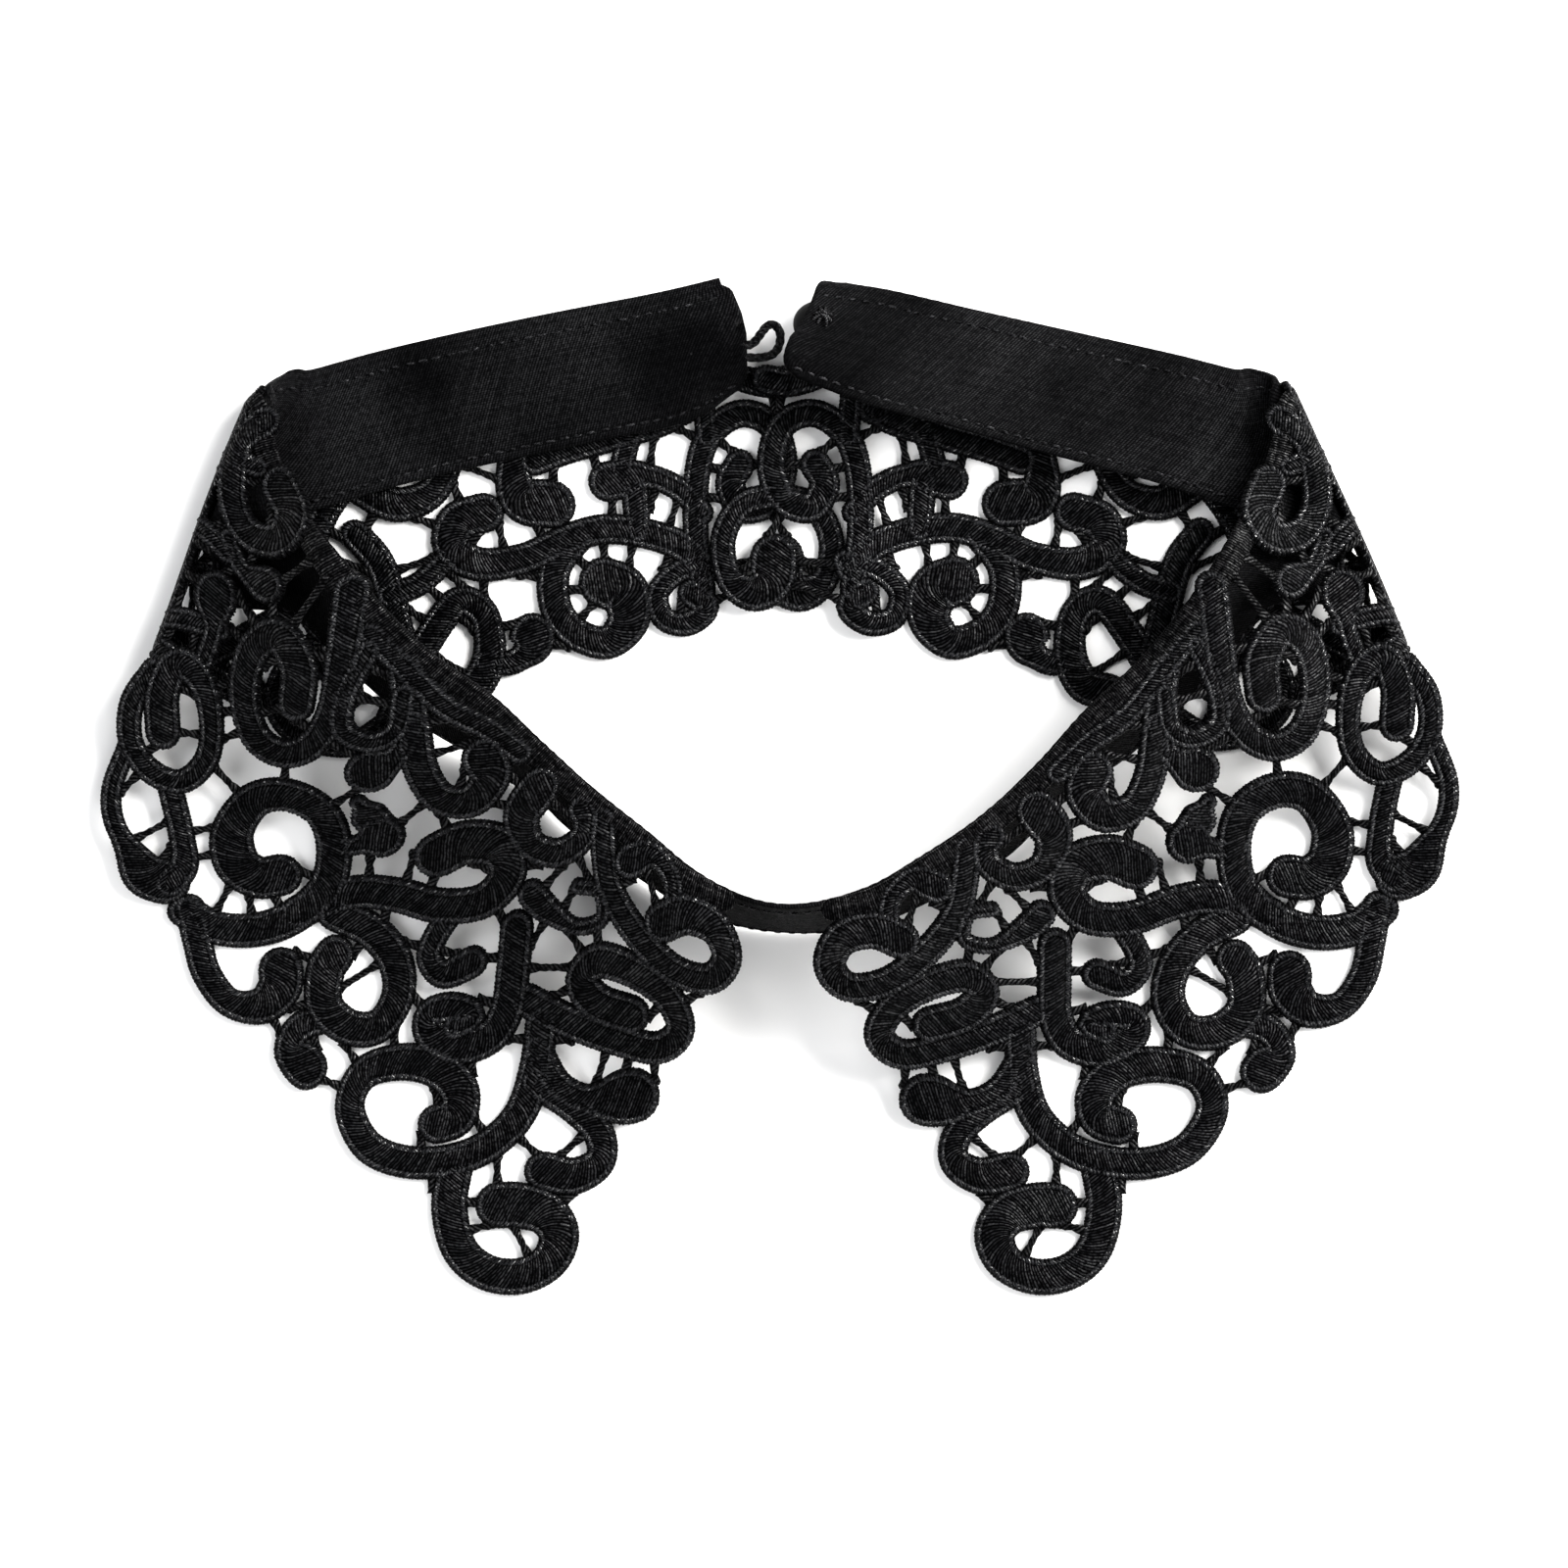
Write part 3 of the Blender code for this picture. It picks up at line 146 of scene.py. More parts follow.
# Band stations of one half, closure end first: top edge x, y (pixels), its z, then the way across the
# band to the foot edge: plan angle (degrees), length (mm) and z of the foot (mm)
BAND_BACK = (
    (847.0, 286.0, 4.8, -104.0, 22.0, 15.5),
    (900.0, 296.0, 4.4, -103.5, 22.0, 14.0),
    (1000.0, 318.0, 2.6, -103.0, 22.0, 11.0),
    (1100.0, 340.0, 2.2, -103.0, 22.0, 8.0),
    (1200.0, 363.0, 2.2, -100.0, 22.2, 5.5),
    (1255.0, 377.0, 2.2, -90.0, 23.0, 2.6),
)
BAND_FRONT = (
    (1292.0, 445.0, 10.0, -62.0, 26.0, 3.8),
    (1280.0, 482.0, 16.0, -58.0, 24.5, 3.0),
    (1262.0, 517.0, 20.0, -50.0, 23.2, 2.6),
    (1238.0, 560.0, 21.5, -44.0, 22.4, 2.4),
    (1205.0, 615.0, 22.0, -42.0, 22.0, 2.3),
    (1165.0, 668.0, 22.2, -44.0, 22.0, 2.3),
    (1107.0, 723.0, 22.2, -45.0, 22.0, 2.3),
    (1060.0, 776.0, 22.2, -47.0, 22.0, 0.9),
    (1000.0, 832.0, 22.0, -52.0, 22.0, 0.9),
    (940.0, 873.0, 21.9, -60.0, 21.6, 0.9),
    (880.0, 907.0, 21.8, -74.0, 21.1, 0.9),
    (793.0, 922.0, 21.8, -90.0, 20.7, 0.9),
)
# The closure ends' own station, in place of the first one above: right end, then left end
BAND_ENDS = {1: (838.5, 287.0, 4.8, -110.0, 20.2, 14.8), -1: (852.0, 284.0, 2.2, -105.5, 19.4, 3.9)}
# The band's corner at the side: x of its middle, and how far to each side it tells (pixels)
CORNER_MIDDLE = 1276.0
CORNER_HALF = 16.0
# Where the band's top edge goes round the side roll (mm along it), at the back and at the front, and how
# much further along its foot edge is
BAND_ROLL_TOP = (-7.2, -3.6)
BAND_ROLL_LENGTH = 29.0

# How the two halves lie off the plain mirrored sketch: place outward and back from the middle (mm), then
# shift inward and back (mm).  A shift fades out over LIE_REACH round its place and over LIE_FADE toward the
# middle of the collar, and LIE_HOLD keeps what is far from every place still.
LIE_REACH = 14.0
LIE_HOLD = 0.2
LIE_FADE = 22.0
LEFT_LIE = (
    (85, 62, -2.8, 0.0), (57, 77, -1.2, 0.6), (96, 49, -1.8, -2.0), (101, 30, 0.4, -1.6),
    (100, 13, 0.8, -4.2), (108, -9, 1.5, -3.4), (78, 17, 1.0, -4.0), (80, -10, 3.0, 1.0),
    (86, -37, 3.3, 0.7), (54, -19, 3.6, 1.6), (50, 12, 2.2, -0.9), (27, -5, 0.7, 0.8),
    (26, -41, 1.0, -0.7), (51, -54, 0.3, 0.3), (46, -74, 0.0, 0.0), (57, 30, 1.6, -0.3),
    (37, 37, 1.6, -1.0), (111, 14, 2.3, -3.2), (98, -31, 4.2, 0.8),
)
RIGHT_LIE = (
    (94, 51, -0.7, -1.9), (102, 32, -1.6, -1.7), (102, 13, 0.3, -2.6), (107, -9, 0.3, -1.3),
    (80, -10, 0.2, 0.0), (86, -37, 0.3, 0.0), (54, -19, 0.6, -0.2), (50, 12, 0.9, -0.9),
    (37, 37, 0.9, -0.6), (46, -60, 0.3, 0.0), (85, 62, -0.6, 0.6), (57, 77, 0.0, 0.0),
    (112, 14, 1.3, -1.6), (102, -31, 0.9, 0.0),
)
# The fold is pressed in at its outer corner: a line across the corner (pixels), how far the lace may stand
# past it (mm), and how much of the rest is pressed back
CORNER_LINE = ((1286, 379), (1336, 420))
CORNER_REACH = 0.45
CORNER_PRESS = 0.85
# The left half's neck edge is pulled toward a point in the neck: how far, over what width of the front and
# over what depth from the edge, and that point (mm)
LEFT_PULL = 4.8
PULL_WIDTH = 76.0
PULL_DEPTH = 50.0
PULL_MIDDLE = (0.0, 50.0)


def to_mm(points):
    """Sketch pixels to millimetres about the collar's middle, y up."""
    points = np.asarray(points, dtype=float)
    return np.column_stack(((points[:, 0] - SKETCH_CENTRE[0]) / PIXELS_PER_MM,
                            (SKETCH_CENTRE[1] - points[:, 1]) / PIXELS_PER_MM))


ALONG = np.array(ROLL_DIRECTION) / np.hypot(*ROLL_DIRECTION)
INWARD = np.array((ALONG[1], -ALONG[0]))
AXIS_START = to_mm([ROLL_START])[0] + INWARD * (ROLL_RADIUS + LACE_WALL / 2)
ROLL_ARC = math.pi * ROLL_RADIUS
LOW_Z = LACE_WALL / 2
CROWN_Z = LOW_Z + 2 * ROLL_RADIUS


def smooth_step(t):
    """3t^2 - 2t^3 between 0 and 1."""
    t = np.clip(t, 0.0, 1.0)
    return t * t * (3 - 2 * t)


def spline(points, step):
    """Catmull-Rom curve through the rows of points, sampled about every step."""
    points = np.asarray(points, dtype=float)
    padded = np.vstack((2 * points[0] - points[1], points, 2 * points[-1] - points[-2]))
    rows = []
    for i in range(1, len(padded) - 2):
        a, b, c, d = padded[i - 1:i + 3]
        count = max(2, int(np.ceil(np.linalg.norm(c - b) / step)))
        t = np.linspace(0, 1, count, endpoint=False)[:, None]
        rows.append(0.5 * (2 * b + (c - a) * t + (2 * a - 5 * b + 4 * c - d) * t ** 2
                           + (3 * b - a - 3 * c + d) * t ** 3))
    rows.append(points[-1][None, :])
    return np.vstack(rows)


def roll_coordinates(points):
    """Distance along the side roll, and inward from its axis."""
    offset = points - AXIS_START
    return offset @ ALONG, offset @ INWARD


def from_roll(along, inward):
    """The inverse: flat pattern points from distances along and inward."""
    return AXIS_START + np.outer(along, ALONG) + np.outer(inward, INWARD)


def unfold_back(points):
    """Plan points of the back layer to the flat pattern, where they lie beyond the roll."""
    along, inward = roll_coordinates(points)
    return from_roll(along, -ROLL_ARC - inward)


def band_top(rows):
    """Plan points of the band's top edge, from rows of stations."""
    return to_mm([row[:2] for row in rows])


# Where the neck edge crosses the side roll (mm along it), front to back, and how far the lace stands over
# the band's top edge along the front: always this much, and this much more where the band is low
NECK_ON_ROLL = (-1.2, -3.3, -5.4)
NECK_OVER_BAND = 1.0
NECK_OVER_LOW = 0.55


def neck_line():
    """The neck edge of one fall in the flat pattern, front end first, and the lace's z there."""
    front = band_top(BAND_FRONT)[::-1]
    heights = [row[2] for row in BAND_FRONT][::-1]
    back = unfold_back(band_top(BAND_BACK))[::-1]
    roll = from_roll(np.array(NECK_ON_ROLL), np.array([0.0, -ROLL_ARC / 2, -ROLL_ARC]))
    points = np.vstack((front, roll, back))
    lift = [z + NECK_OVER_BAND + NECK_OVER_LOW * (1 - smooth_step((z - 5.5) / 16)) for z in heights]
    heights = np.array(lift + [CROWN_Z] * (len(roll) + len(back)))
    return points, heights


NECK_POINTS, NECK_HEIGHTS = neck_line()
FRONT_COUNT = len(BAND_FRONT) + 1


def nearest_on_line(points, line, values):
    """Distance from each point to a polyline, and the line's value at the nearest place."""
    best = np.full(len(points), 1e9)
    value = np.zeros(len(points))
    for a, b, va, vb in zip(line[:-1], line[1:], values[:-1], values[1:]):
        edge = b - a
        t = np.clip(((points - a) @ edge) / (edge @ edge), 0, 1)
        distance = np.linalg.norm(points - (a + t[:, None] * edge), axis=1)
        near = distance < best
        best[near] = distance[near]
        value[near] = (va + (vb - va) * t)[near]
    return best, value


def front_height(points):
    """Height of the front layer: the neck's height, brought down to rest by half a cosine of the distance.

    Near the side roll it gives way to the crown's own height, by smooth steps along and inward from it.
    """
    distance, neck = nearest_on_line(points, NECK_POINTS[:FRONT_COUNT], NECK_HEIGHTS[:FRONT_COUNT])
    along, inward = roll_coordinates(points)
    rest = LOW_Z + FRONT_REST * smooth_step((points[:, 1] - REST_START) / REST_SPAN)
    ease = 0.5 + 0.5 * np.cos(math.pi * np.clip(distance / FALL_REACH, 0, 1))
    main = rest + (neck - rest) * ease
    crown = CROWN_Z + (LOW_Z + FRONT_REST - CROWN_Z) * smooth_step((along - CROWN_END) / CROWN_SPAN)
    return crown + (main - crown) * smooth_step(inward / CROWN_BLEND)


def place_lace(pattern, side, bent=None):
    """Flat pattern points to the lace's middle surface, in millimetres; side is 1 or -1.

    bent says whether what lies past the side's axis goes round the roll; None leaves it to the place.
    """
    along, inward = roll_coordinates(pattern)
    flat = (inward >= 0) | ((along > 0.5 * (ROLL_END + FLAT_START)) & (inward > -0.7 * ROLL_ARC))
    if bent is not None:
        flat = (inward >= 0) | (not bent)
    out = np.zeros((len(pattern), 3))
    out[:, :2] = pattern
    out[:, 2] = front_height(pattern)
    rolled = ~flat & (inward > -ROLL_ARC)
    angle = -inward / ROLL_RADIUS
    out[rolled, :2] = (AXIS_START + np.outer(along, ALONG)
                       - np.outer(ROLL_RADIUS * np.sin(angle), INWARD))[rolled]
    out[rolled, 2] = LOW_Z + ROLL_RADIUS * (1 + np.cos(angle[rolled]))
    back = ~flat & (inward <= -ROLL_ARC)
    plan = AXIS_START + np.outer(along, ALONG) + np.outer(-inward - ROLL_ARC, INWARD)
    out[back, :2] = plan[back]
    lift = BACK_LAP * smooth_step((LAP_START - plan[:, 0]) / LAP_SPAN) if side > 0 else 0.0 * inward
    out[back, 2] = LOW_Z + lift[back]
    if side < 0:
        out[flat] = pull_in(out[flat], pattern[flat])
        out[:, 0] *= -1
    return shift_to_lie(out, side)


def shift_to_lie(points, side):
    """Points (mm) moved in plan as their half lies.

    The move is the average of the table's shifts, each weighted by a bell curve of the distance to its
    place.  Then what stands past the line across the fold's outer corner is pressed back toward it.
    """
    table = np.array(LEFT_LIE if side < 0 else RIGHT_LIE, dtype=float)
    outward = points[:, 0] * side
    away = (outward[:, None] - table[:, 0]) ** 2 + (points[:, 1][:, None] - table[:, 1]) ** 2
    weight = np.exp(-away / (2 * LIE_REACH ** 2))
    shift = weight @ table[:, 2:] / (weight.sum(axis=1) + LIE_HOLD)[:, None]
    shift = shift * smooth_step(outward / LIE_FADE)[:, None]
    moved = points.copy()
    moved[:, 0] -= side * shift[:, 0]
    moved[:, 1] += shift[:, 1]
    first, last = to_mm(CORNER_LINE)
    way = (last - first) / np.linalg.norm(last - first)
    past = (moved[:, 0] * side - first[0]) * -way[1] + (moved[:, 1] - first[1]) * way[0]
    back = np.maximum(past - CORNER_REACH, 0) * CORNER_PRESS
    moved[:, 0] += side * way[1] * back
    moved[:, 1] -= way[0] * back
    return moved


def pull_in(points, pattern):
    """Left half only: its neck edge lies up to LEFT_PULL nearer the middle of the neck."""
    distance, _ = nearest_on_line(pattern, NECK_POINTS[:FRONT_COUNT], NECK_HEIGHTS[:FRONT_COUNT])
    amount = LEFT_PULL * np.sin(math.pi * np.clip(pattern[:, 0] / PULL_WIDTH, 0, 1))
    amount = amount * np.clip(1 - distance / PULL_DEPTH, 0, 1)
    direction = np.array(PULL_MIDDLE) - pattern
    direction /= np.linalg.norm(direction, axis=1)[:, None]
    moved = points.copy()
    moved[:, :2] += direction * amount[:, None]
    return moved


def lace_normals(pattern, side, bent=None):
    """Unit normals of the middle surface, by differences along the two pattern axes."""
    h = 0.05
    du = place_lace(pattern + (h, 0), side, bent) - place_lace(pattern - (h, 0), side, bent)
    dv = place_lace(pattern + (0, h), side, bent) - place_lace(pattern - (0, h), side, bent)
    normal = np.cross(du, dv) * side
    return normal / np.linalg.norm(normal, axis=1)[:, None]


# Scrolls of the lace
# Each scroll is a ribbon of satin stitch worked over padding, with a fine cord laid inside both of its
# edges.  The scrolls are stitched one over the other where they meet, and the ground is dissolved away.
# Scrolls of the front, right side up: name, stem width and end width (mm), centre line (pixels)
FRONT_SCROLLS = (
    ("tip", 6.2, 7.9, ((1122, 1188), (1128, 1232), (1117, 1275), (1090, 1298), (1055, 1302), (1026, 1287),
                       (1016, 1260), (1030, 1238), (1058, 1230), (1078, 1230))),
    ("lower ring", 5.6, 6.8, ((1042, 1050), (1045, 1095), (1058, 1138), (1090, 1170), (1130, 1185),
                              (1175, 1186), (1215, 1170), (1238, 1132), (1225, 1098), (1185, 1086),
                              (1145, 1092), (1120, 1115), (1122, 1140), (1142, 1148))),
    ("post", 6.0, 4.6, ((1077, 962), (1077, 1000), (1078, 1035), (1092, 1062), (1125, 1072), (1155, 1058),
                        (1158, 1040), (1135, 1034), (1112, 1042), (1130, 1053))),
    ("inner leaf", 5.4, 6.2, ((1060, 1030), (1010, 1052), (960, 1068), (920, 1074), (897, 1055),
                              (910, 1025), (945, 1003), (985, 993), (1003, 1010), (985, 1032),
                              (948, 1043))),
    ("front end", 5.0, 6.6, ((987, 864), (984, 895), (975, 930), (945, 968), (905, 998), (865, 1004),
                             (846, 982), (858, 955), (890, 946), (918, 956))),
    ("neck curl", 5.0, 7.6, ((1012, 850), (1005, 862), (1010, 880), (1036, 892), (1064, 880), (1074, 850),
                             (1058, 824))),
    ("neck leaf", 4.0, 6.0, ((905, 950), (908, 915), (930, 895), (955, 902))),
    ("small s", 2.8, 5.2, ((1012, 925), (988, 930), (984, 955), (1012, 962), (1045, 945), (1062, 930))),
    ("neck hook", 5.4, 7.0, ((1185, 680), (1178, 740), (1172, 785), (1155, 820), (1125, 828), (1106, 805),
                             (1114, 782))),
    ("hook bud", 4.4, 8.2, ((1178, 735), (1190, 765), (1218, 782))),
    ("ring leaf", 3.8, 8.0, ((1264, 862), (1238, 864), (1212, 856))),
    ("ring leaf tip", 6.2, 3.0, ((1213, 850), (1231, 815))),
    ("great ring", 6.2, 7.8, ((1412, 925), (1385, 945), (1345, 950), (1305, 938), (1270, 908), (1259, 865),
                              (1268, 825), (1300, 802), (1335, 805), (1360, 838), (1358, 875), (1338, 893),
                              (1316, 892))),
    ("long trunk", 6.0, 8.0, ((1300, 933), (1245, 915), (1200, 920), (1155, 935), (1112, 933), (1088, 908),
                              (1097, 880), (1130, 872), (1158, 882))),
    ("lower curl", 6.0, 6.9, ((1262, 936), (1225, 955), (1200, 985), (1194, 1020), (1212, 1050),
                              (1245, 1052), (1272, 1030), (1272, 995), (1262, 978))),
    ("small c", 4.4, 5.4, ((1140, 936), (1158, 962), (1165, 985), (1148, 1002), (1120, 992))),
    ("side cup", 5.0, 7.8, ((1408, 920), (1402, 960), (1394, 995), (1372, 1025), (1340, 1030), (1320, 1012),
                            (1318, 992))),
    ("side bud", 5.2, 7.6, ((1270, 1042), (1298, 1052), (1308, 1074), (1289, 1093))),
    ("outer leg", 3.6, 8.6, ((1462, 742), (1479, 785), (1478, 820), (1462, 855), (1448, 880), (1430, 890))),
    ("inner leg", 4.4, 5.6, ((1420, 785), (1412, 830), (1410, 870), (1425, 892))),
    ("side spiral", 4.4, 6.2, ((1432, 668), (1456, 700), (1459, 738), (1440, 768), (1408, 780), (1380, 755),
                               (1374, 710), (1385, 675), (1408, 662), (1424, 690), (1425, 728))),
    ("middle spiral", 5.4, 6.4, ((1228, 596), (1238, 660), (1248, 710), (1270, 745), (1300, 755),
                                 (1328, 735), (1338, 690), (1325, 648), (1298, 636), (1280, 665),
                                 (1284, 702))),
    ("crease leaf", 3.8, 8.0, ((1385, 668), (1368, 632), (1362, 595))),
    ("corner spiral", 5.4, 6.4, ((1300, 428), (1328, 448), (1336, 480), (1335, 515), (1318, 540),
                                 (1290, 545), (1274, 522), (1286, 492))),
    ("corner bud", 3.4, 6.0, ((1345, 540), (1332, 570), (1306, 588))),
    ("neck stem", 4.0, 4.2, ((1215, 640), (1185, 680), (1150, 725), (1110, 755), (1078, 785))),
    ("neck eye", 3.8, 4.0, ((1215, 655), (1235, 695), (1240, 732), (1215, 750), (1192, 740), (1186, 705))),
    ("inner bud", 4.8, 9.2, ((1045, 1075), (1020, 1112), (985, 1126), (945, 1121))),
    ("inner hook", 5.2, 6.8, ((1044, 1108), (1005, 1132), (978, 1158), (976, 1185), (1002, 1200),
                              (1032, 1195))),
)
# Scrolls of the back, seen from inside, same columns
BACK_SCROLLS = (
    ("back trunk", 5.2, 6.6, ((868, 580), (895, 555), (935, 540), (980, 536), (1020, 548), (1060, 566),
                              (1105, 572), (1132, 555), (1125, 530), (1098, 520))),
    ("back spiral", 5.6, 8.8, ((1005, 543), (1028, 575), (1028, 615), (1008, 642), (975, 652), (953, 630),
                               (957, 600), (978, 590))),
    ("back curl", 4.2, 5.0, ((862, 572), (900, 580), (922, 602), (915, 628), (888, 634), (868, 618),
                             (886, 602))),
    ("end loop", 4.8, 5.4, ((872, 600), (880, 540), (877, 480), (862, 442), (830, 422), (798, 435),
                            (787, 475), (800, 510), (828, 518), (842, 494), (832, 474))),
    ("end foot", 4.4, 8.2, ((797, 505), (758, 515), (738, 550), (744, 590), (766, 605), (786, 594),
                            (790, 569))),
    ("end edge", 4.4, 5.2, ((880, 316), (866, 352), (838, 382), (804, 391), (782, 388))),
    ("end stay", 3.8, 4.0, ((884, 310), (872, 370), (866, 445))),
    ("back leaf", 4.2, 6.8, ((872, 522), (900, 495), (935, 482), (972, 488))),
    ("leaf foot", 4.8, 4.2, ((945, 490), (942, 538))),
    ("back hook", 4.8, 8.2, ((1030, 350), (1042, 410), (1064, 462), (1062, 505), (1030, 511))),
    ("valley bud", 4.4, 8.0, ((1100, 670), (1075, 672), (1056, 660), (1052, 645))),
    ("back ring", 5.2, 6.2, ((1190, 700), (1160, 650), (1128, 610), (1102, 622), (1096, 662), (1110, 694),
                             (1136, 702))),
    ("under band curl", 4.2, 5.0, ((958, 475), (945, 440), (918, 422), (890, 418))),
    ("under band leaf", 5.0, 6.6, ((1046, 468), (1010, 455), (960, 441), (905, 420))),
    ("side hook", 4.4, 6.2, ((1105, 360), (1118, 440), (1142, 495), (1180, 512), (1212, 494))),
    ("side stem", 5.0, 5.6, ((1222, 540), (1202, 570), (1190, 620), (1180, 680), (1196, 728))),
    ("side link", 4.0, 4.2, ((1130, 560), (1165, 590), (1196, 600))),
    ("side spiral back", 5.0, 6.2, ((1196, 728), (1235, 748), (1285, 735), (1308, 700), (1290, 664),
                                    (1254, 664), (1240, 694))),
    ("upper branch", 4.6, 5.2, ((1200, 400), (1215, 470), (1250, 520), (1275, 575), (1262, 625),
                                (1225, 630))),
    ("notch branch", 4.6, 5.0, ((1305, 705), (1345, 690), (1385, 668), (1412, 652))),
    ("upper link", 4.4, 4.6, ((1255, 528), (1305, 560), (1352, 580), (1385, 575))),
    ("middle link", 4.2, 4.4, ((1268, 600), (1320, 625), (1370, 650), (1392, 655))),
    ("corner link", 4.4, 4.6, ((1262, 420), (1290, 470), (1330, 510), (1355, 520))),
)
# Scrolls on the side roll: distance along the roll and past its crown (mm), same widths
ROLL_SCROLLS = (
    ("roll stem", 4.8, 5.0, ((-2.0, -4.6), (8.0, -5.2), (20.0, -5.6), (32.0, -5.4), (43.0, -5.0))),
    ("roll rib a", 3.8, 4.0, ((9.0, 3.0), (10.0, -4.0), (14.0, -12.0))),
    ("roll rib b", 3.8, 4.0, ((24.0, 3.0), (22.0, -4.0), (25.0, -12.0))),
    ("roll rib c", 4.0, 4.2, ((36.0, 6.0), (37.0, 0.0), (39.0, -6.0), (40.0, -12.0))),
    ("roll rib d", 4.4, 4.6, ((45.0, 5.0), (43.6, -1.0), (43.0, -6.0), (43.6, -12.0))),
)
SCROLL_GROUPS = {"front": FRONT_SCROLLS, "back": BACK_SCROLLS, "roll": ROLL_SCROLLS}

# Half profile of a scroll, from the middle out over the top, round the edge and back under it: share of the
# padded middle or, past it, distance in from the edge (mm), and height over the middle surface (mm)
PADDED_ROWS = ((0.5, 0.66), (0.88, 0.54))
CORD_ROWS = ((1.25, 0.36), (0.95, 0.44), (0.6, 0.40), (0.25, 0.16), (0.0, -0.12), (0.22, -0.46),
             (1.2, -0.60))
UNDER_ROWS = ((0.5, -0.62),)
MIDDLE_TOP = 0.70
MIDDLE_UNDER = -0.62
# Width of the corded rim (mm).  It shrinks on a scroll whose half width is not this much more.
CORD_ZONE = 1.3
CORD_SPARE = 0.5
# The plain strip is lower and has no cord
PLAIN_CORD_ROWS = ((1.22, 0.44), (0.98, 0.45), (0.72, 0.44), (0.46, 0.40), (0.18, 0.22), (0.0, -0.05),
                   (0.22, -0.42), (1.2, -0.55))
# Stations along a scroll (mm apart) and round its end
STATION_STEP = 0.7
FAN_STATIONS = 7
# A scroll widens from its stem past this share of its length, over this share of it.  On the inside of a
# bend it reaches at most this share of the way to the bend's centre.
WIDEN_FROM = 0.55
WIDEN_OVER = 0.4
BEND_REACH = 0.86
# Overcast stitches over the edge cord: pitch (mm), slant, and distance in from the edge, height and radius
EDGE_PITCH = 0.78
EDGE_SLANT = 0.45
STITCH_SIDES = 4
EDGE_STITCH = ((-0.06, -0.10, 0.15), (0.28, 0.34, 0.27), (0.78, 0.55, 0.29), (1.22, 0.32, 0.15))


def run_along(points):
    """Arc length from the first of a line's points to each."""
    return np.concatenate(([0.0], np.cumsum(np.linalg.norm(np.diff(points, axis=0), axis=1))))


def even_path(points, step):
    """The same line with points an even arc length apart, and the arc length at each."""
    run = run_along(points)
    count = max(4, int(np.ceil(run[-1] / step)) + 1)
    even = np.linspace(0.0, run[-1], count)
    return np.column_stack([np.interp(even, run, points[:, k]) for k in range(points.shape[1])]), even


def soften(values, rounds):
    """Running average of three neighbours, so many times, the two ends kept."""
    for _ in range(rounds):
        values = np.concatenate((values[:1], (values[:-2] + values[1:-1] + values[2:]) / 3, values[-1:]))
    return values


def half_width(run, stem, end):
    """Half the scroll's width at each arc length: half the stem, eased by a smooth step to half the end."""
    return 0.5 * (stem + (end - stem) * smooth_step((run / run[-1] - WIDEN_FROM) / WIDEN_OVER))


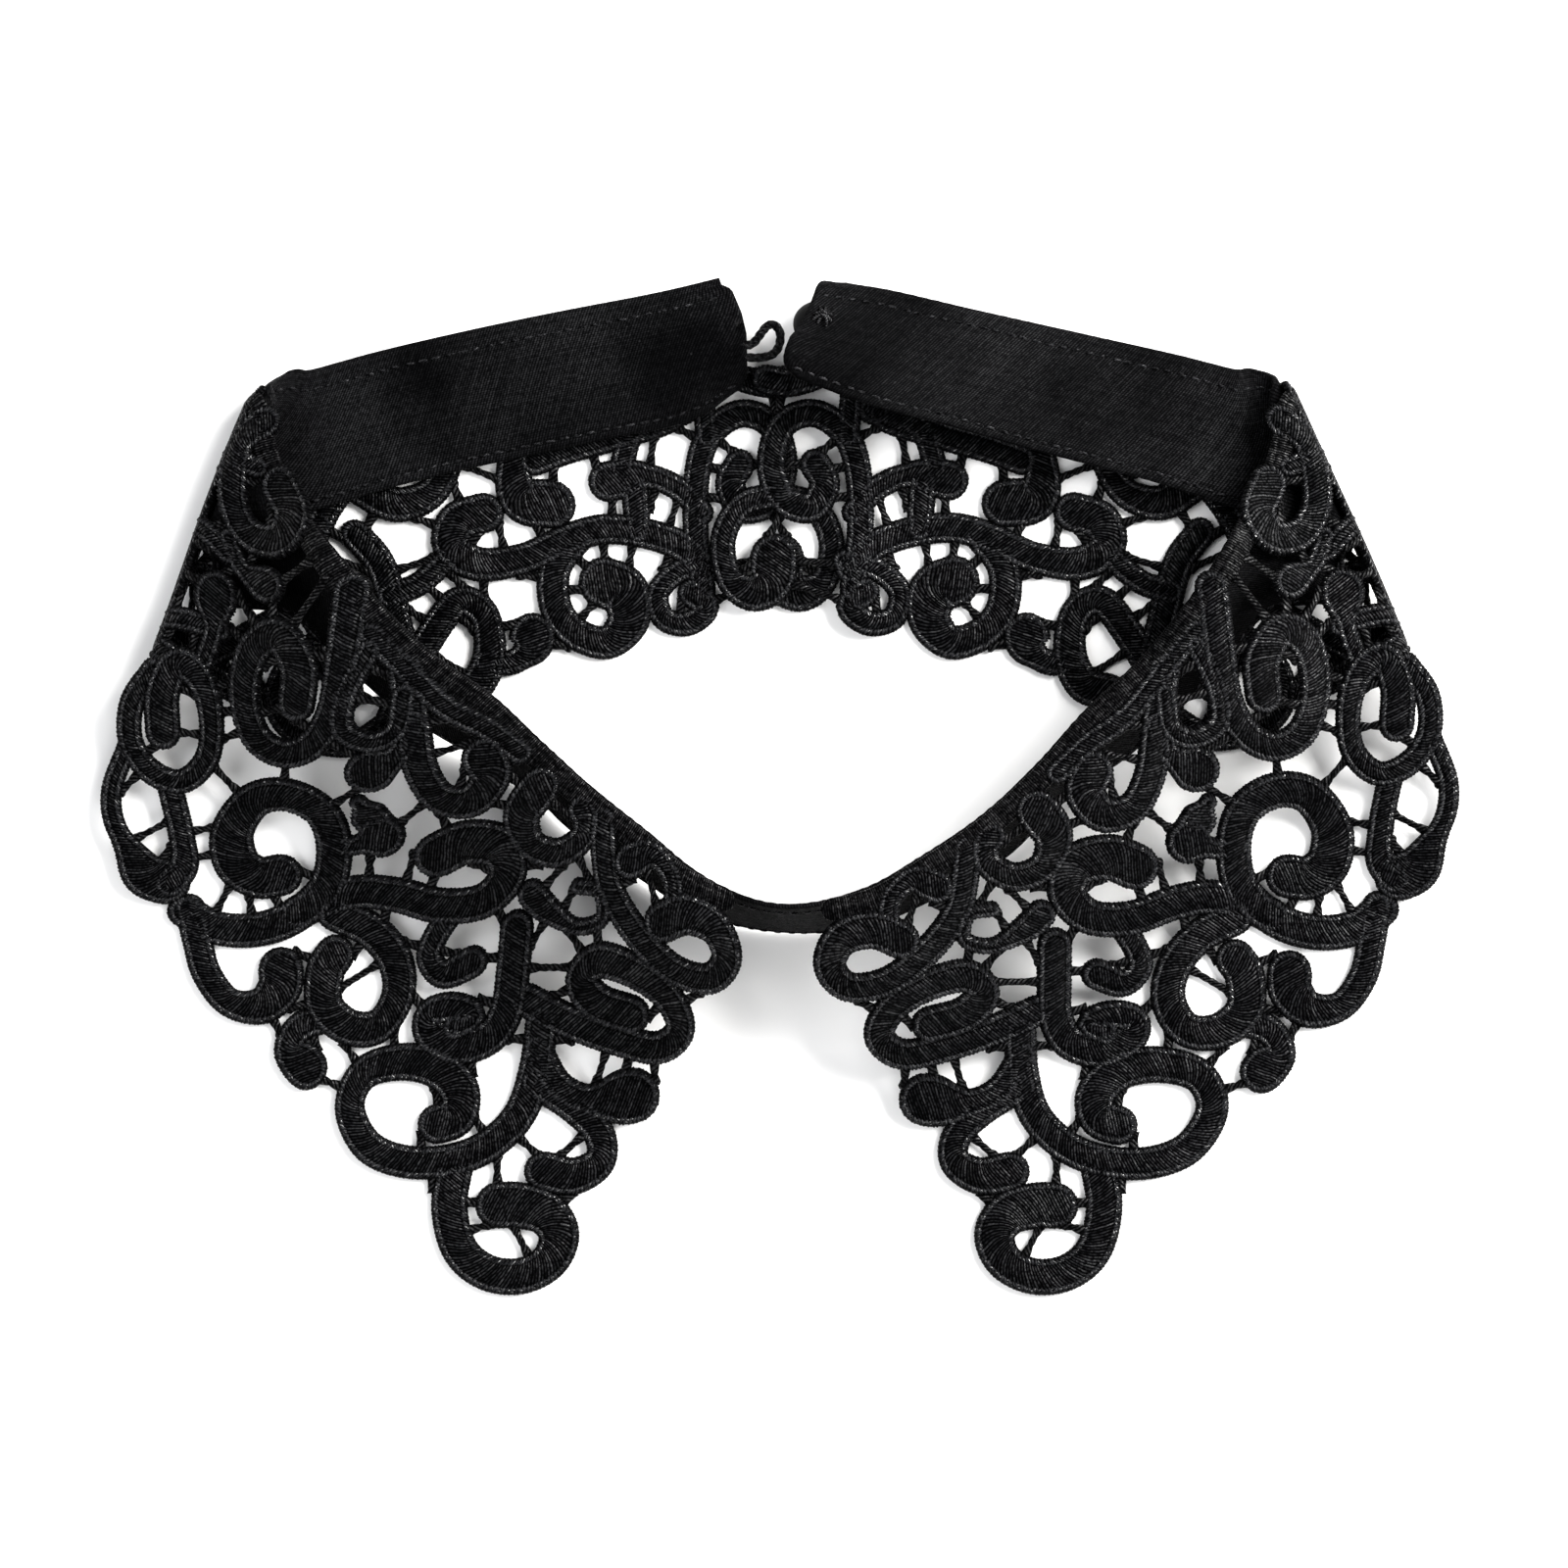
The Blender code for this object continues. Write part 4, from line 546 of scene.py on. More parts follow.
def scroll_ribbon(line, stem, end, lift, cord_rows=CORD_ROWS, step=STATION_STEP):
    """One scroll in the flat pattern: points, heights, thread coordinates, edge runs and faces.

    The outline is walked once round: up the left side, round the end, down the right side and round
    the stem.  Each station reaches from the middle line out to the edge, at most as far as the line's
    own radius on the inside of a bend, and carries the half profile.  Width grows from stem to end.
    """
    path, run = even_path(line, step)
    count = len(path)
    tangent = np.gradient(path, axis=0)
    tangent /= np.linalg.norm(tangent, axis=1)[:, None]
    heading = np.unwrap(np.arctan2(tangent[:, 1], tangent[:, 0]))
    bend = soften(np.gradient(heading, run), 4)
    left = np.column_stack((-tangent[:, 1], tangent[:, 0]))
    half = half_width(run, stem, end)
    left_reach = np.minimum(half, BEND_REACH / np.maximum(bend, 1e-6))
    right_reach = np.minimum(half, BEND_REACH / np.maximum(-bend, 1e-6))
    turn = np.linspace(0, math.pi, FAN_STATIONS + 2)[1:-1]
    fan = 0.5 - 0.5 * np.cos(turn)

    def fan_directions(i, sign):
        """Ways out from a round end: left at no turn, forward at a quarter turn, then right."""
        return np.cos(turn)[:, None] * left[i] * sign + np.sin(turn)[:, None] * tangent[i] * sign

    # Once round the outline: the station, the way out from it and how far the edge is
    order = np.concatenate((np.arange(count), np.full(FAN_STATIONS, count - 1),
                            np.arange(count)[::-1], np.zeros(FAN_STATIONS, dtype=int)))
    direction = np.vstack((left, fan_directions(-1, 1), -left[::-1], fan_directions(0, -1)))
    reach = np.concatenate((left_reach, left_reach[-1] + (right_reach[-1] - left_reach[-1]) * fan,
                            right_reach[::-1], right_reach[0] + (left_reach[0] - right_reach[0]) * fan))
    edge_run = np.concatenate((run, run[-1] + turn * reach[count], run[::-1], -turn * reach[-1]))
    # The profile's places out from the middle line, and their heights
    zone = np.minimum(1.0, reach / (CORD_ZONE + CORD_SPARE))[:, None]
    padded = np.maximum(reach[:, None] - CORD_ZONE * zone, 0.0)
    shares = np.array(PADDED_ROWS)
    cords = np.array(cord_rows)
    under = np.array(UNDER_ROWS)
    out = np.hstack((padded * shares[:, 0], reach[:, None] - zone * cords[:, 0], padded * under[:, 0]))
    rows = out.shape[1]
    height = np.concatenate((shares[:, 1], cords[:, 1], under[:, 1]))[None, :] * np.ones((len(order), 1))
    rise = lift * smooth_step(run / run[-1] * 1.6)
    height = height + rise[order][:, None]
    points = path[order][:, None, :] + direction[:, None, :] * out[:, :, None]
    # Thread coordinates of each point: along the scroll, across it, and in from the edge
    offset = points - path[order][:, None, :]
    across = np.sum(offset * left[order][:, None, :], axis=2)
    along = run[order][:, None] + np.sum(offset * tangent[order][:, None, :], axis=2)
    inset = reach[:, None] - out
    middle = np.column_stack((run, np.zeros(count), np.minimum(left_reach, right_reach)))
    flat = np.vstack((points.reshape(-1, 2), path, path))
    heights = np.concatenate((height.ravel(), MIDDLE_TOP + rise, MIDDLE_UNDER + rise))
    thread = np.vstack((np.column_stack((along.ravel(), across.ravel(), inset.ravel())), middle, middle))
    runs = np.concatenate((np.repeat(edge_run, rows), run, run))
    # Faces: the skin between neighbouring stations, then its two rims joined to the middle lines
    a = np.arange(len(order))
    b = np.roll(a, -1)
    j = np.arange(rows - 1)
    skin = np.stack((a[:, None] * rows + j, b[:, None] * rows + j,
                     b[:, None] * rows + j + 1, a[:, None] * rows + j + 1), axis=-1).reshape(-1, 4)
    top = len(order) * rows
    spine_a, spine_b = order[a] + top, order[b] + top
    over = np.stack((spine_a, spine_b, b * rows, a * rows), axis=-1)
    below = np.stack((a * rows + rows - 1, b * rows + rows - 1, spine_b + count, spine_a + count), axis=-1)
    joined = np.vstack((over, below))
    # Round the ends two corners of such a face are one point of the middle line, and it is a triangle
    split = (joined[:, 0] != joined[:, 1]) & (joined[:, 2] != joined[:, 3])
    shared = joined[~split]
    first = shared[:, 0] == shared[:, 1]
    corners = np.where(first[:, None], shared[:, [0, 2, 3]], shared[:, [0, 1, 2]])
    rim = np.column_stack((path[order] + direction * reach[:, None], direction, rise[order], reach))
    return flat, heights, thread, runs, np.vstack((skin, joined[split])), corners, rim


def tube_faces(tubes, rings, sides):
    """Quads of so many open tubes, each of so many rings, whose points follow one another ring by ring."""
    base = (np.arange(tubes) * rings * sides)[:, None, None]
    ring = (np.arange(rings - 1) * sides)[None, :, None]
    j = np.arange(sides)[None, None, :]
    k = (j + 1) % sides
    start = base + ring
    return np.stack((start + j, start + sides + j, start + sides + k, start + k), axis=-1).reshape(-1, 4)


# Corners of a quad in the other direction, from the same first corner
TURNED_OVER = [0, 3, 2, 1]


def thread_rows(along, around, inset=0.0):
    """Thread coordinates as rows: along the thread, around or across it, and in from the edge."""
    return np.stack(np.broadcast_arrays(along, around, inset), axis=-1).reshape(-1, 3)


def edge_stitches(rim):
    """Overcast stitches round a scroll's outline: short bent tubes of four sides, as one part's arrays.

    They stand about an even pitch apart along the outline, moved and swollen a little by sines of their
    number.  Each runs in from the edge on a slant, over the cord laid inside it, by the insets, heights and
    radii of EDGE_STITCH.
    """
    closed = np.vstack((rim, rim[:1]))
    run = run_along(closed[:, :2])
    count = max(6, int(run[-1] / EDGE_PITCH))
    place = (np.arange(count) + 0.16 * np.sin(np.arange(count) * 2.4)) * run[-1] / count % run[-1]
    at = np.column_stack([np.interp(place, run, closed[:, k]) for k in range(6)])
    inward = -at[:, 2:4] / np.linalg.norm(at[:, 2:4], axis=1)[:, None]
    aside = np.column_stack((-inward[:, 1], inward[:, 0]))
    shape = np.array(EDGE_STITCH)
    swell = (1.0 + 0.14 * np.sin(np.arange(count) * 1.9) + 0.08 * np.sin(np.arange(count) * 5.3))[:, None]
    shrink = np.minimum(1.0, at[:, 5] / 1.5)[:, None]
    inset = (shape[:, 0] * shrink)[:, :, None]
    slant = (EDGE_SLANT * (shape[:, 0] - 0.5) * shrink)[:, :, None]
    radius = (shape[:, 2] * swell)[:, :, None]
    turn = np.arange(STITCH_SIDES) * 2 * math.pi / STITCH_SIDES
    points = (at[:, None, None, :2] + inward[:, None, None, :] * inset[..., None]
              + aside[:, None, None, :] * (slant + radius * np.cos(turn))[..., None])
    heights = shape[None, :, 1, None] + radius * np.sin(turn) + at[:, 4][:, None, None]
    size = len(shape) * STITCH_SIDES
    near_end = np.arange(count)[:, None] * size + np.arange(STITCH_SIDES)
    far_end = near_end[:, ::-1] + size - STITCH_SIDES
    quads = np.vstack((tube_faces(count, len(shape), STITCH_SIDES), near_end, far_end))
    number = np.repeat(np.arange(count), size)
    return (points.reshape(-1, 2), heights.ravel(), thread_rows(inset, turn, place[:, None, None]), number,
            quads, np.zeros((0, 3), dtype=int))


def fill_mesh(name, parts, flip):
    """One mesh from many parts of (points, thread, runs, quads, triangles); flip turns the faces round."""
    mesh = bpy.data.meshes.new(name)
    starts = np.concatenate(([0], np.cumsum([len(part[0]) for part in parts])))
    points = np.vstack([part[0] for part in parts])
    quads = np.vstack([part[3] + start for part, start in zip(parts, starts)])
    corners = np.vstack([part[4] + start for part, start in zip(parts, starts)])
    if flip:
        quads, corners = quads[:, ::-1], corners[:, ::-1]
    mesh.vertices.add(len(points))
    mesh.vertices.foreach_set("co", points.astype(np.float32).ravel())
    mesh.loops.add(quads.size + corners.size)
    order = np.concatenate((quads.ravel(), corners.ravel()))
    mesh.loops.foreach_set("vertex_index", order.astype(np.int32))
    mesh.polygons.add(len(quads) + len(corners))
    begin = np.concatenate((np.arange(len(quads)) * 4, quads.size + np.arange(len(corners)) * 3))
    mesh.polygons.foreach_set("loop_start", begin.astype(np.int32))
    mesh.update(calc_edges=True)
    thread = mesh.attributes.new("thread", "FLOAT_VECTOR", "POINT")
    thread.data.foreach_set("vector", np.vstack([part[1] for part in parts]).astype(np.float32).ravel())
    runs = mesh.attributes.new("edge_run", "FLOAT", "POINT")
    runs.data.foreach_set("value", np.concatenate([part[2] for part in parts]).astype(np.float32))
    mesh.shade_smooth()
    thing = bpy.data.objects.new(name, mesh)
    bpy.context.scene.collection.objects.link(thing)
    return thing


def on_lace(flat, heights, side, bent=None):
    """Flat points at heights over the lace's middle surface, laid in the frame, in metres."""
    middle = place_lace(flat, side, bent)
    return laid(middle + lace_normals(flat, side, bent) * heights[:, None])


# How far each front scroll rises over the one it crosses: least, and the step between three levels (mm)
FRONT_LIFT = 0.20
LIFT_STEP = 0.07
OTHER_LIFT = 0.10
# On the back the relief is turned to the side that shows, and is this share of the front's
BACK_RELIEF = 0.9
# A front scroll that is wholly past this place along the roll (mm) lies flat, below the notch
FLAT_PAST = 40.0
# Points along a scroll's drawn line (mm apart)
LINE_STEP = 0.6


def scroll_line(group, points, step):
    """A scroll's middle line in the flat pattern, from the columns of its own table."""
    if group == "roll":
        line = spline(np.array(points), step)
        return from_roll(line[:, 0], line[:, 1])
    line = spline(to_mm(points), step)
    return unfold_back(line) if group == "back" else line


def scroll_parts(side):
    """All scrolls of one fall, and their edge stitches; the back's show their worked side upward."""
    parts, edges = [], []
    for group, rows in SCROLL_GROUPS.items():
        for k, (_, stem, end, line) in enumerate(rows):
            line = scroll_line(group, line, LINE_STEP)
            lift = FRONT_LIFT + LIFT_STEP * (k % 3) if group == "front" else OTHER_LIFT
            *ribbon, rim = scroll_ribbon(line, stem, end, lift)
            bent = None
            if group == "front" and roll_coordinates(ribbon[0])[0].min() > FLAT_PAST:
                bent = False
            if group != "front":
                bent = True
            for target, sheet in ((parts, ribbon), (edges, edge_stitches(rim))):
                flat, heights, thread, runs, quads, corners = sheet
                if group == "back":
                    heights = -BACK_RELIEF * heights
                    quads, corners = quads[:, ::-1], corners[:, ::-1]
                target.append((on_lace(flat, heights, side, bent), thread, runs, quads, corners))
    return parts, edges


# The plain strip: its stations (mm apart), where it starts outward of the middle (mm), how many of its last
# stations are left off at the closure, and how far it lies under the scrolls (mm)
STRIP_STEP = 1.0
STRIP_START = 9.0
STRIP_SHORT = 3
STRIP_LIFT = -0.06


def heading_line():
    """Middle line of the plain strip along the neck edge, whose outer side is the seam line."""
    line = spline(NECK_POINTS, STRIP_STEP)
    tangent = np.gradient(line, axis=0)
    tangent /= np.linalg.norm(tangent, axis=1)[:, None]
    outward = np.column_stack((tangent[:, 1], -tangent[:, 0]))
    return (line + outward * HEADING / 2)[line[:, 0] > STRIP_START][:-STRIP_SHORT]


def heading_part(side):
    """The plain strip as one ribbon of even width."""
    strip = scroll_ribbon(heading_line(), HEADING, HEADING, STRIP_LIFT, PLAIN_CORD_ROWS, STRIP_STEP)
    flat, heights, thread, runs, quads, corners, _ = strip
    return on_lace(flat, heights, side), thread, runs, quads, corners


# Lace thread
# The thread is black rayon, two plies twisted.  Its colour holds painted light: a painted highlight on the
# crown of each stitch and of the fine cord along the edges, and painted shade that keeps the grooves
# between stitches nearly black.

# Satin stitch: pitch (mm) and slant; edge cord: its middle in from the edge, half width, pitch of its twist
# and the groove inside it, where shade is painted (mm)
STITCH_PITCH = 0.56
STITCH_SLANT = 0.55
CORD_INSET = 0.72
CORD_HALF = 0.34
CORD_PITCH = 0.8
CORD_FURROW = 0.52
# The thread's black, which is also the painted shade of the grooves; then the painted highlight on the
# satin stitch's crowns, and that on the overcast stitches' crowns
THREAD_DARK = (0.0004, 0.0004, 0.0005)
THREAD_PAINTED_LIGHT = (0.0062, 0.0064, 0.0074)
EDGE_PAINTED_LIGHT = (0.0125, 0.0128, 0.0145)


def wire(tree, kind, inputs=None, **settings):
    """A node of this kind with its settings, its inputs joined to sockets or set to values."""
    node = tree.nodes.new(kind)
    for key, value in settings.items():
        setattr(node, key, value)
    for key, value in (inputs or {}).items():
        if isinstance(value, bpy.types.NodeSocket):
            tree.links.new(value, node.inputs[key])
        else:
            node.inputs[key].default_value = value
    return node


def sum_up(tree, operation, *values):
    """The output of one Math node over these sockets or numbers."""
    return wire(tree, "ShaderNodeMath", dict(enumerate(values)), operation=operation).outputs[0]


def blend_of(tree, share, first, second):
    """The output of one Mix node, of two numbers or two colours."""
    colours = isinstance(first, tuple) or getattr(first, "type", "") == "RGBA"
    start = 6 if colours else 2
    node = wire(tree, "ShaderNodeMix", {0: share, start: first, start + 1: second},
                data_type="RGBA" if colours else "FLOAT")
    return node.outputs[2 if colours else 0]


def ramp(tree, value, low, high, at_low, at_high):
    """The output of a Map Range node: at_low where value is low, at_high where it is high, clamped."""
    return wire(tree, "ShaderNodeMapRange", {"Value": value, "From Min": low, "From Max": high,
                                             "To Min": at_low, "To Max": at_high}).outputs["Result"]


def attribute_of(tree, name, output):
    """An attribute of the mesh, by this output of its node."""
    return wire(tree, "ShaderNodeAttribute", attribute_name=name).outputs[output]


def new_finish(name):
    """A material with its node tree and its Principled shader."""
    material = bpy.data.materials.new(name)
    material.use_nodes = True
    return material, material.node_tree, material.node_tree.nodes["Principled BSDF"]


def new_group(name, inputs, outputs):
    """A shader node group with these named inputs (socket kind, default) and outputs (socket kind)."""
    group = bpy.data.node_groups.new(name, "ShaderNodeTree")
    for key, (kind, value) in inputs.items():
        socket = group.interface.new_socket(name=key, in_out="INPUT", socket_type=kind)
        if value is not None:
            socket.default_value = value
    for key, kind in outputs.items():
        group.interface.new_socket(name=key, in_out="OUTPUT", socket_type=kind)
    return group, group.nodes.new("NodeGroupInput"), group.nodes.new("NodeGroupOutput")


def place_group(tree, group, **inputs):
    """The group as one node of a material."""
    node = tree.nodes.new("ShaderNodeGroup")
    node.node_tree = group
    for key, value in inputs.items():
        socket = node.inputs[key.replace("_", " ")]
        if isinstance(value, bpy.types.NodeSocket):
            tree.links.new(value, socket)
        else:
            socket.default_value = value
    return node


def stitch_rows_group():
    """Rows of thread across a coordinate: the height of each rounded thread, and a shade of its own.

    The row number is (Run + Slant x Across + Wander x noise) / Pitch.  Height is the root of the absolute
    sine of pi times it, and Shade is white noise of its whole part.
    """
    group, source, target = new_group(
        "stitch rows",
        {"Run": ("NodeSocketFloat", 0.0), "Across": ("NodeSocketFloat", 0.0),
         "Slant": ("NodeSocketFloat", 0.5), "Pitch": ("NodeSocketFloat", 0.5),
         "Wander": ("NodeSocketFloat", 0.1)},
        {"Height": "NodeSocketFloat", "Shade": "NodeSocketFloat"})
    place = wire(group, "ShaderNodeTexCoord").outputs["Object"]
    noise = wire(group, "ShaderNodeTexNoise", {"Vector": place, "Scale": 420.0, "Detail": 2.0})
    slanted = sum_up(group, "MULTIPLY_ADD", source.outputs["Across"], source.outputs["Slant"],
                     source.outputs["Run"])
    wandered = sum_up(group, "MULTIPLY_ADD", noise.outputs["Fac"], source.outputs["Wander"], slanted)
    row = sum_up(group, "DIVIDE", wandered, source.outputs["Pitch"])
    wave = sum_up(group, "ABSOLUTE", sum_up(group, "SINE", sum_up(group, "MULTIPLY", row, math.pi)))
    height = sum_up(group, "POWER", wave, 0.6)
    number = sum_up(group, "FLOOR", row)
    shade = wire(group, "ShaderNodeTexWhiteNoise", {"W": number}, noise_dimensions="1D").outputs["Value"]
    group.links.new(height, target.inputs["Height"])
    group.links.new(shade, target.inputs["Shade"])
    return group


def fibre_group():
    """Fine fibre over any cloth: masks of small streaks, of painted glints and of a slow unevenness, from
    noise.
    """
    group, source, target = new_group(
        "fibre",
        {"Fine": ("NodeSocketFloat", 5000.0), "Slow": ("NodeSocketFloat", 60.0)},
        {"Streaks": "NodeSocketFloat", "Unevenness": "NodeSocketFloat", "Painted_glints": "NodeSocketFloat"})
    place = wire(group, "ShaderNodeTexCoord").outputs["Object"]
    for output, scale, detail in (("Streaks", source.outputs["Fine"], 3.0),
                                  ("Unevenness", source.outputs["Slow"], 3.0), ("Painted_glints", 1900.0, 2.0)):
        noise = wire(group, "ShaderNodeTexNoise", {"Vector": place, "Scale": scale, "Detail": detail})
        group.links.new(noise.outputs["Fac"], target.inputs[output])
    return group


STITCH_ROWS = stitch_rows_group()
FIBRE = fibre_group()


def thread_finish(name, pitch, slant, cord, light=THREAD_PAINTED_LIGHT, relief=0.00022):
    """Thread laid in rows over the thread coordinates; with cord, the edge cord's twist lies over them.

    The colour is painted light over the thread's own tone: a painted highlight on each row's crown, from
    the rows' height to the fifth power, times the thread's random tone, painted glints and the slow
    unevenness.  The cord gets a stronger painted highlight and the groove beside it painted shade.  It
    leads from the dark colour to the colour given as light, and the same mask gives the shine.
    """
    material, tree, shader = new_finish(name)
    parts = wire(tree, "ShaderNodeSeparateXYZ", {"Vector": attribute_of(tree, "thread", "Vector")}).outputs
    rows = place_group(tree, STITCH_ROWS, Run=parts["X"], Across=parts["Y"], Slant=slant, Pitch=pitch,
                       Wander=0.35).outputs
    fibre = place_group(tree, FIBRE, Fine=5200.0, Slow=70.0).outputs
    height, shade = rows["Height"], rows["Shade"]
    if cord:
        run = attribute_of(tree, "edge_run", "Fac")
        twist = place_group(tree, STITCH_ROWS, Run=run, Across=parts["Z"], Slant=1.3, Pitch=CORD_PITCH,
                            Wander=0.1).outputs
        away = sum_up(tree, "ABSOLUTE", sum_up(tree, "SUBTRACT", parts["Z"], CORD_INSET))
        on_cord = ramp(tree, away, CORD_HALF * 0.7, CORD_HALF * 1.25, 1.0, 0.0)
        height = blend_of(tree, on_cord, height, twist["Height"])
        # Painted highlight along the cord: its tone is raised to 2.6 there.
        shade = blend_of(tree, on_cord, shade, 2.6)
        # Painted shade in the groove beside the cord: the colour falls to 0.45 of itself there.
        beside = sum_up(tree, "ABSOLUTE", sum_up(tree, "SUBTRACT", parts["Z"], CORD_INSET + CORD_FURROW))
        furrow_painted_shade = ramp(tree, beside, 0.05, 0.22, 0.45, 1.0)
    # Painted highlight: lightness grows with the fifth power of the rows' height, so crowns are light and
    # the grooves between them dark.
    painted_light_and_tone = sum_up(tree, "MULTIPLY", sum_up(tree, "POWER", height, 5.0),
                    sum_up(tree, "MULTIPLY_ADD", sum_up(tree, "POWER", shade, 2.0), 1.6, 0.35))
    # Painted glints from noise, then the slow random unevenness.
    painted_light_and_tone = sum_up(tree, "MULTIPLY", painted_light_and_tone, ramp(tree, fibre["Painted_glints"], 0.40, 0.64, 0.12, 2.2))
    painted_light_and_tone = sum_up(tree, "MULTIPLY", painted_light_and_tone, sum_up(tree, "MULTIPLY_ADD", fibre["Unevenness"], 1.2, 0.4))
    if cord:
        painted_light_and_tone = sum_up(tree, "MULTIPLY", painted_light_and_tone, furrow_painted_shade)
    colour = blend_of(tree, painted_light_and_tone, (*THREAD_DARK, 1.0), (*light, 1.0))
    tree.links.new(colour, shader.inputs["Base Color"])
    rough = sum_up(tree, "MULTIPLY_ADD", fibre["Streaks"], 0.3, 0.20)
    tree.links.new(rough, shader.inputs["Roughness"])
    full = sum_up(tree, "MULTIPLY_ADD", fibre["Streaks"], 0.35, height)
    bump = wire(tree, "ShaderNodeBump", {"Height": full, "Distance": relief, "Strength": 1.0})
    tree.links.new(bump.outputs["Normal"], shader.inputs["Normal"])
    shine = sum_up(tree, "MULTIPLY_ADD", painted_light_and_tone, 0.115, 0.003)
    tree.links.new(shine, shader.inputs["Specular IOR Level"])
    shader.inputs["Sheen Weight"].default_value = 0.004
    shader.inputs["Sheen Roughness"].default_value = 0.4
    return material


def edge_finish():
    """Overcast stitches: each its own random tone by its number, with a painted highlight on the crown and
    painted glints.
    """
    material, tree, shader = new_finish("edge stitch")
    number = attribute_of(tree, "edge_run", "Fac")
    shade = wire(tree, "ShaderNodeTexWhiteNoise", {"W": number}, noise_dimensions="1D").outputs["Value"]
    fibre = place_group(tree, FIBRE, Fine=3800.0, Slow=120.0).outputs
    parts = wire(tree, "ShaderNodeSeparateXYZ", {"Vector": attribute_of(tree, "thread", "Vector")}).outputs
    # Painted highlight: the colour grows lighter from 0.3 to 0.85 mm in from the edge, over the stitch's
    # crown.
    crown = ramp(tree, parts["X"], 0.3, 0.85, 0.12, 1.3)
    painted_light_and_tone = sum_up(tree, "MULTIPLY", crown, sum_up(tree, "MULTIPLY_ADD", shade, 1.2, 0.3))
    # Painted glints from noise.
    painted_light_and_tone = sum_up(tree, "MULTIPLY", painted_light_and_tone, sum_up(tree, "MULTIPLY_ADD", fibre["Painted_glints"], 2.8, -0.6))
    tree.links.new(blend_of(tree, painted_light_and_tone, (*THREAD_DARK, 1.0), (*EDGE_PAINTED_LIGHT, 1.0)),
                   shader.inputs["Base Color"])
    tree.links.new(sum_up(tree, "MULTIPLY_ADD", fibre["Streaks"], 0.3, 0.22), shader.inputs["Roughness"])
    tree.links.new(sum_up(tree, "MULTIPLY_ADD", painted_light_and_tone, 0.17, 0.01), shader.inputs["Specular IOR Level"])
    bump = wire(tree, "ShaderNodeBump", {"Height": fibre["Streaks"], "Distance": 0.00008, "Strength": 0.8})
    tree.links.new(bump.outputs["Normal"], shader.inputs["Normal"])
    return material


EDGE_FINISH = edge_finish()
# The lighter colour of each thread finish here is the painted highlight on its crowns.
SCROLL_FINISH = thread_finish("satin stitch", STITCH_PITCH, STITCH_SLANT, True)
STRIP_FINISH = thread_finish("plain strip stitch", 0.42, 0.0, False, (0.004, 0.004, 0.0045), 0.0001)
BAR_FINISH = thread_finish("bar thread", 0.8, 0.6, False, (0.006, 0.006, 0.0065), 0.0002)


lace_pieces = {}
for side, node in ((1, "lace_right"), (-1, "lace_left")):
    scrolls, edges = scroll_parts(side)
    lace = fill_mesh(node + "_scrolls", scrolls, side < 0)
    edging = fill_mesh(node + "_edging", edges, side < 0)
    strip = fill_mesh(node + "_heading", [heading_part(side)], side < 0)
    lace.data.materials.append(SCROLL_FINISH)
    edging.data.materials.append(EDGE_FINISH)
    strip.data.materials.append(STRIP_FINISH)
    for piece in (lace, edging, strip):
        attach(piece, "root")
        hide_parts(node)
    lace_pieces[side] = [lace, edging, strip]


# Thread bars
# Short bars of twisted thread hold the scrolls apart.  The machine lays them across each gap, and they stay
# when the ground is dissolved.  They are thrown here from the scrolls' edges straight to the next scroll.

# One bar: width, height, pitch of its twist, how far its ends run into the scrolls (mm), how much wider
# they are there as a share, over what distance that fades (mm), its stations (mm apart) and points round it
BAR_WIDTH = 1.1
BAR_HEIGHT = 0.9
BAR_TWIST = 1.6
BAR_TUCK = 0.9
BAR_FLARE = 0.75
FLARE_FADE = 0.55
BAR_STEP = 0.55
BAR_SIDES = 8
# How bars are thrown (mm): the longest, the shortest, the longest that may lie past the lace's edge, and
# how far apart their ends and their middles stay
BAR_REACH = 9.0
BAR_LEAST = 1.2
BAR_PAST_EDGE = 2.2
END_SPACE = 3.4
MIDDLE_SPACE = 4.0
# A bar starts this far off its scroll, in free space, and is followed by this step (mm)
BAR_START = 0.25
RAY_STEP = 0.3
RAY_FREE = 0.05
# Step of the grid that holds the gaps, its rim round the lace, and the widest gap it tells apart (mm)
GRID_STEP = 0.6
GRID_RIM = 6.0
GAP_CAP = 5.0
# Discs along a scroll (mm apart)
DISC_STEP = 1.0
# The notch at the end of the roll: half its width, the room that bars leave it, its run onto the back (mm)
NOTCH_HALF = 1.5
NOTCH_ROOM = 1.0
NOTCH_RUN = 30.0
# Bars of the back reach this far along the roll, and this far over onto the front (mm)
BACK_BARS_END = 44.0
BACK_BARS_OVER = 4.0
# The neck opening's outline is closed past the closure by this step and through this corner (mm), and the
# closure's end faces this way
NECK_STEP = (-30.0, 30.0)
NECK_CORNER = (-60.0, 160.0)
END_WAY = (0.388, 0.921)
# Eyes of the big rings, which no thread bar crosses: x, y and radius (pixels)
OPEN_EYES = (
    (1311, 848, 34), (1182, 1132, 38), (885, 978, 20), (1018, 1152, 22), (1358, 980, 24),
    (1118, 965, 20), (1034, 866, 14), (1145, 790, 14), (945, 945, 12),
)
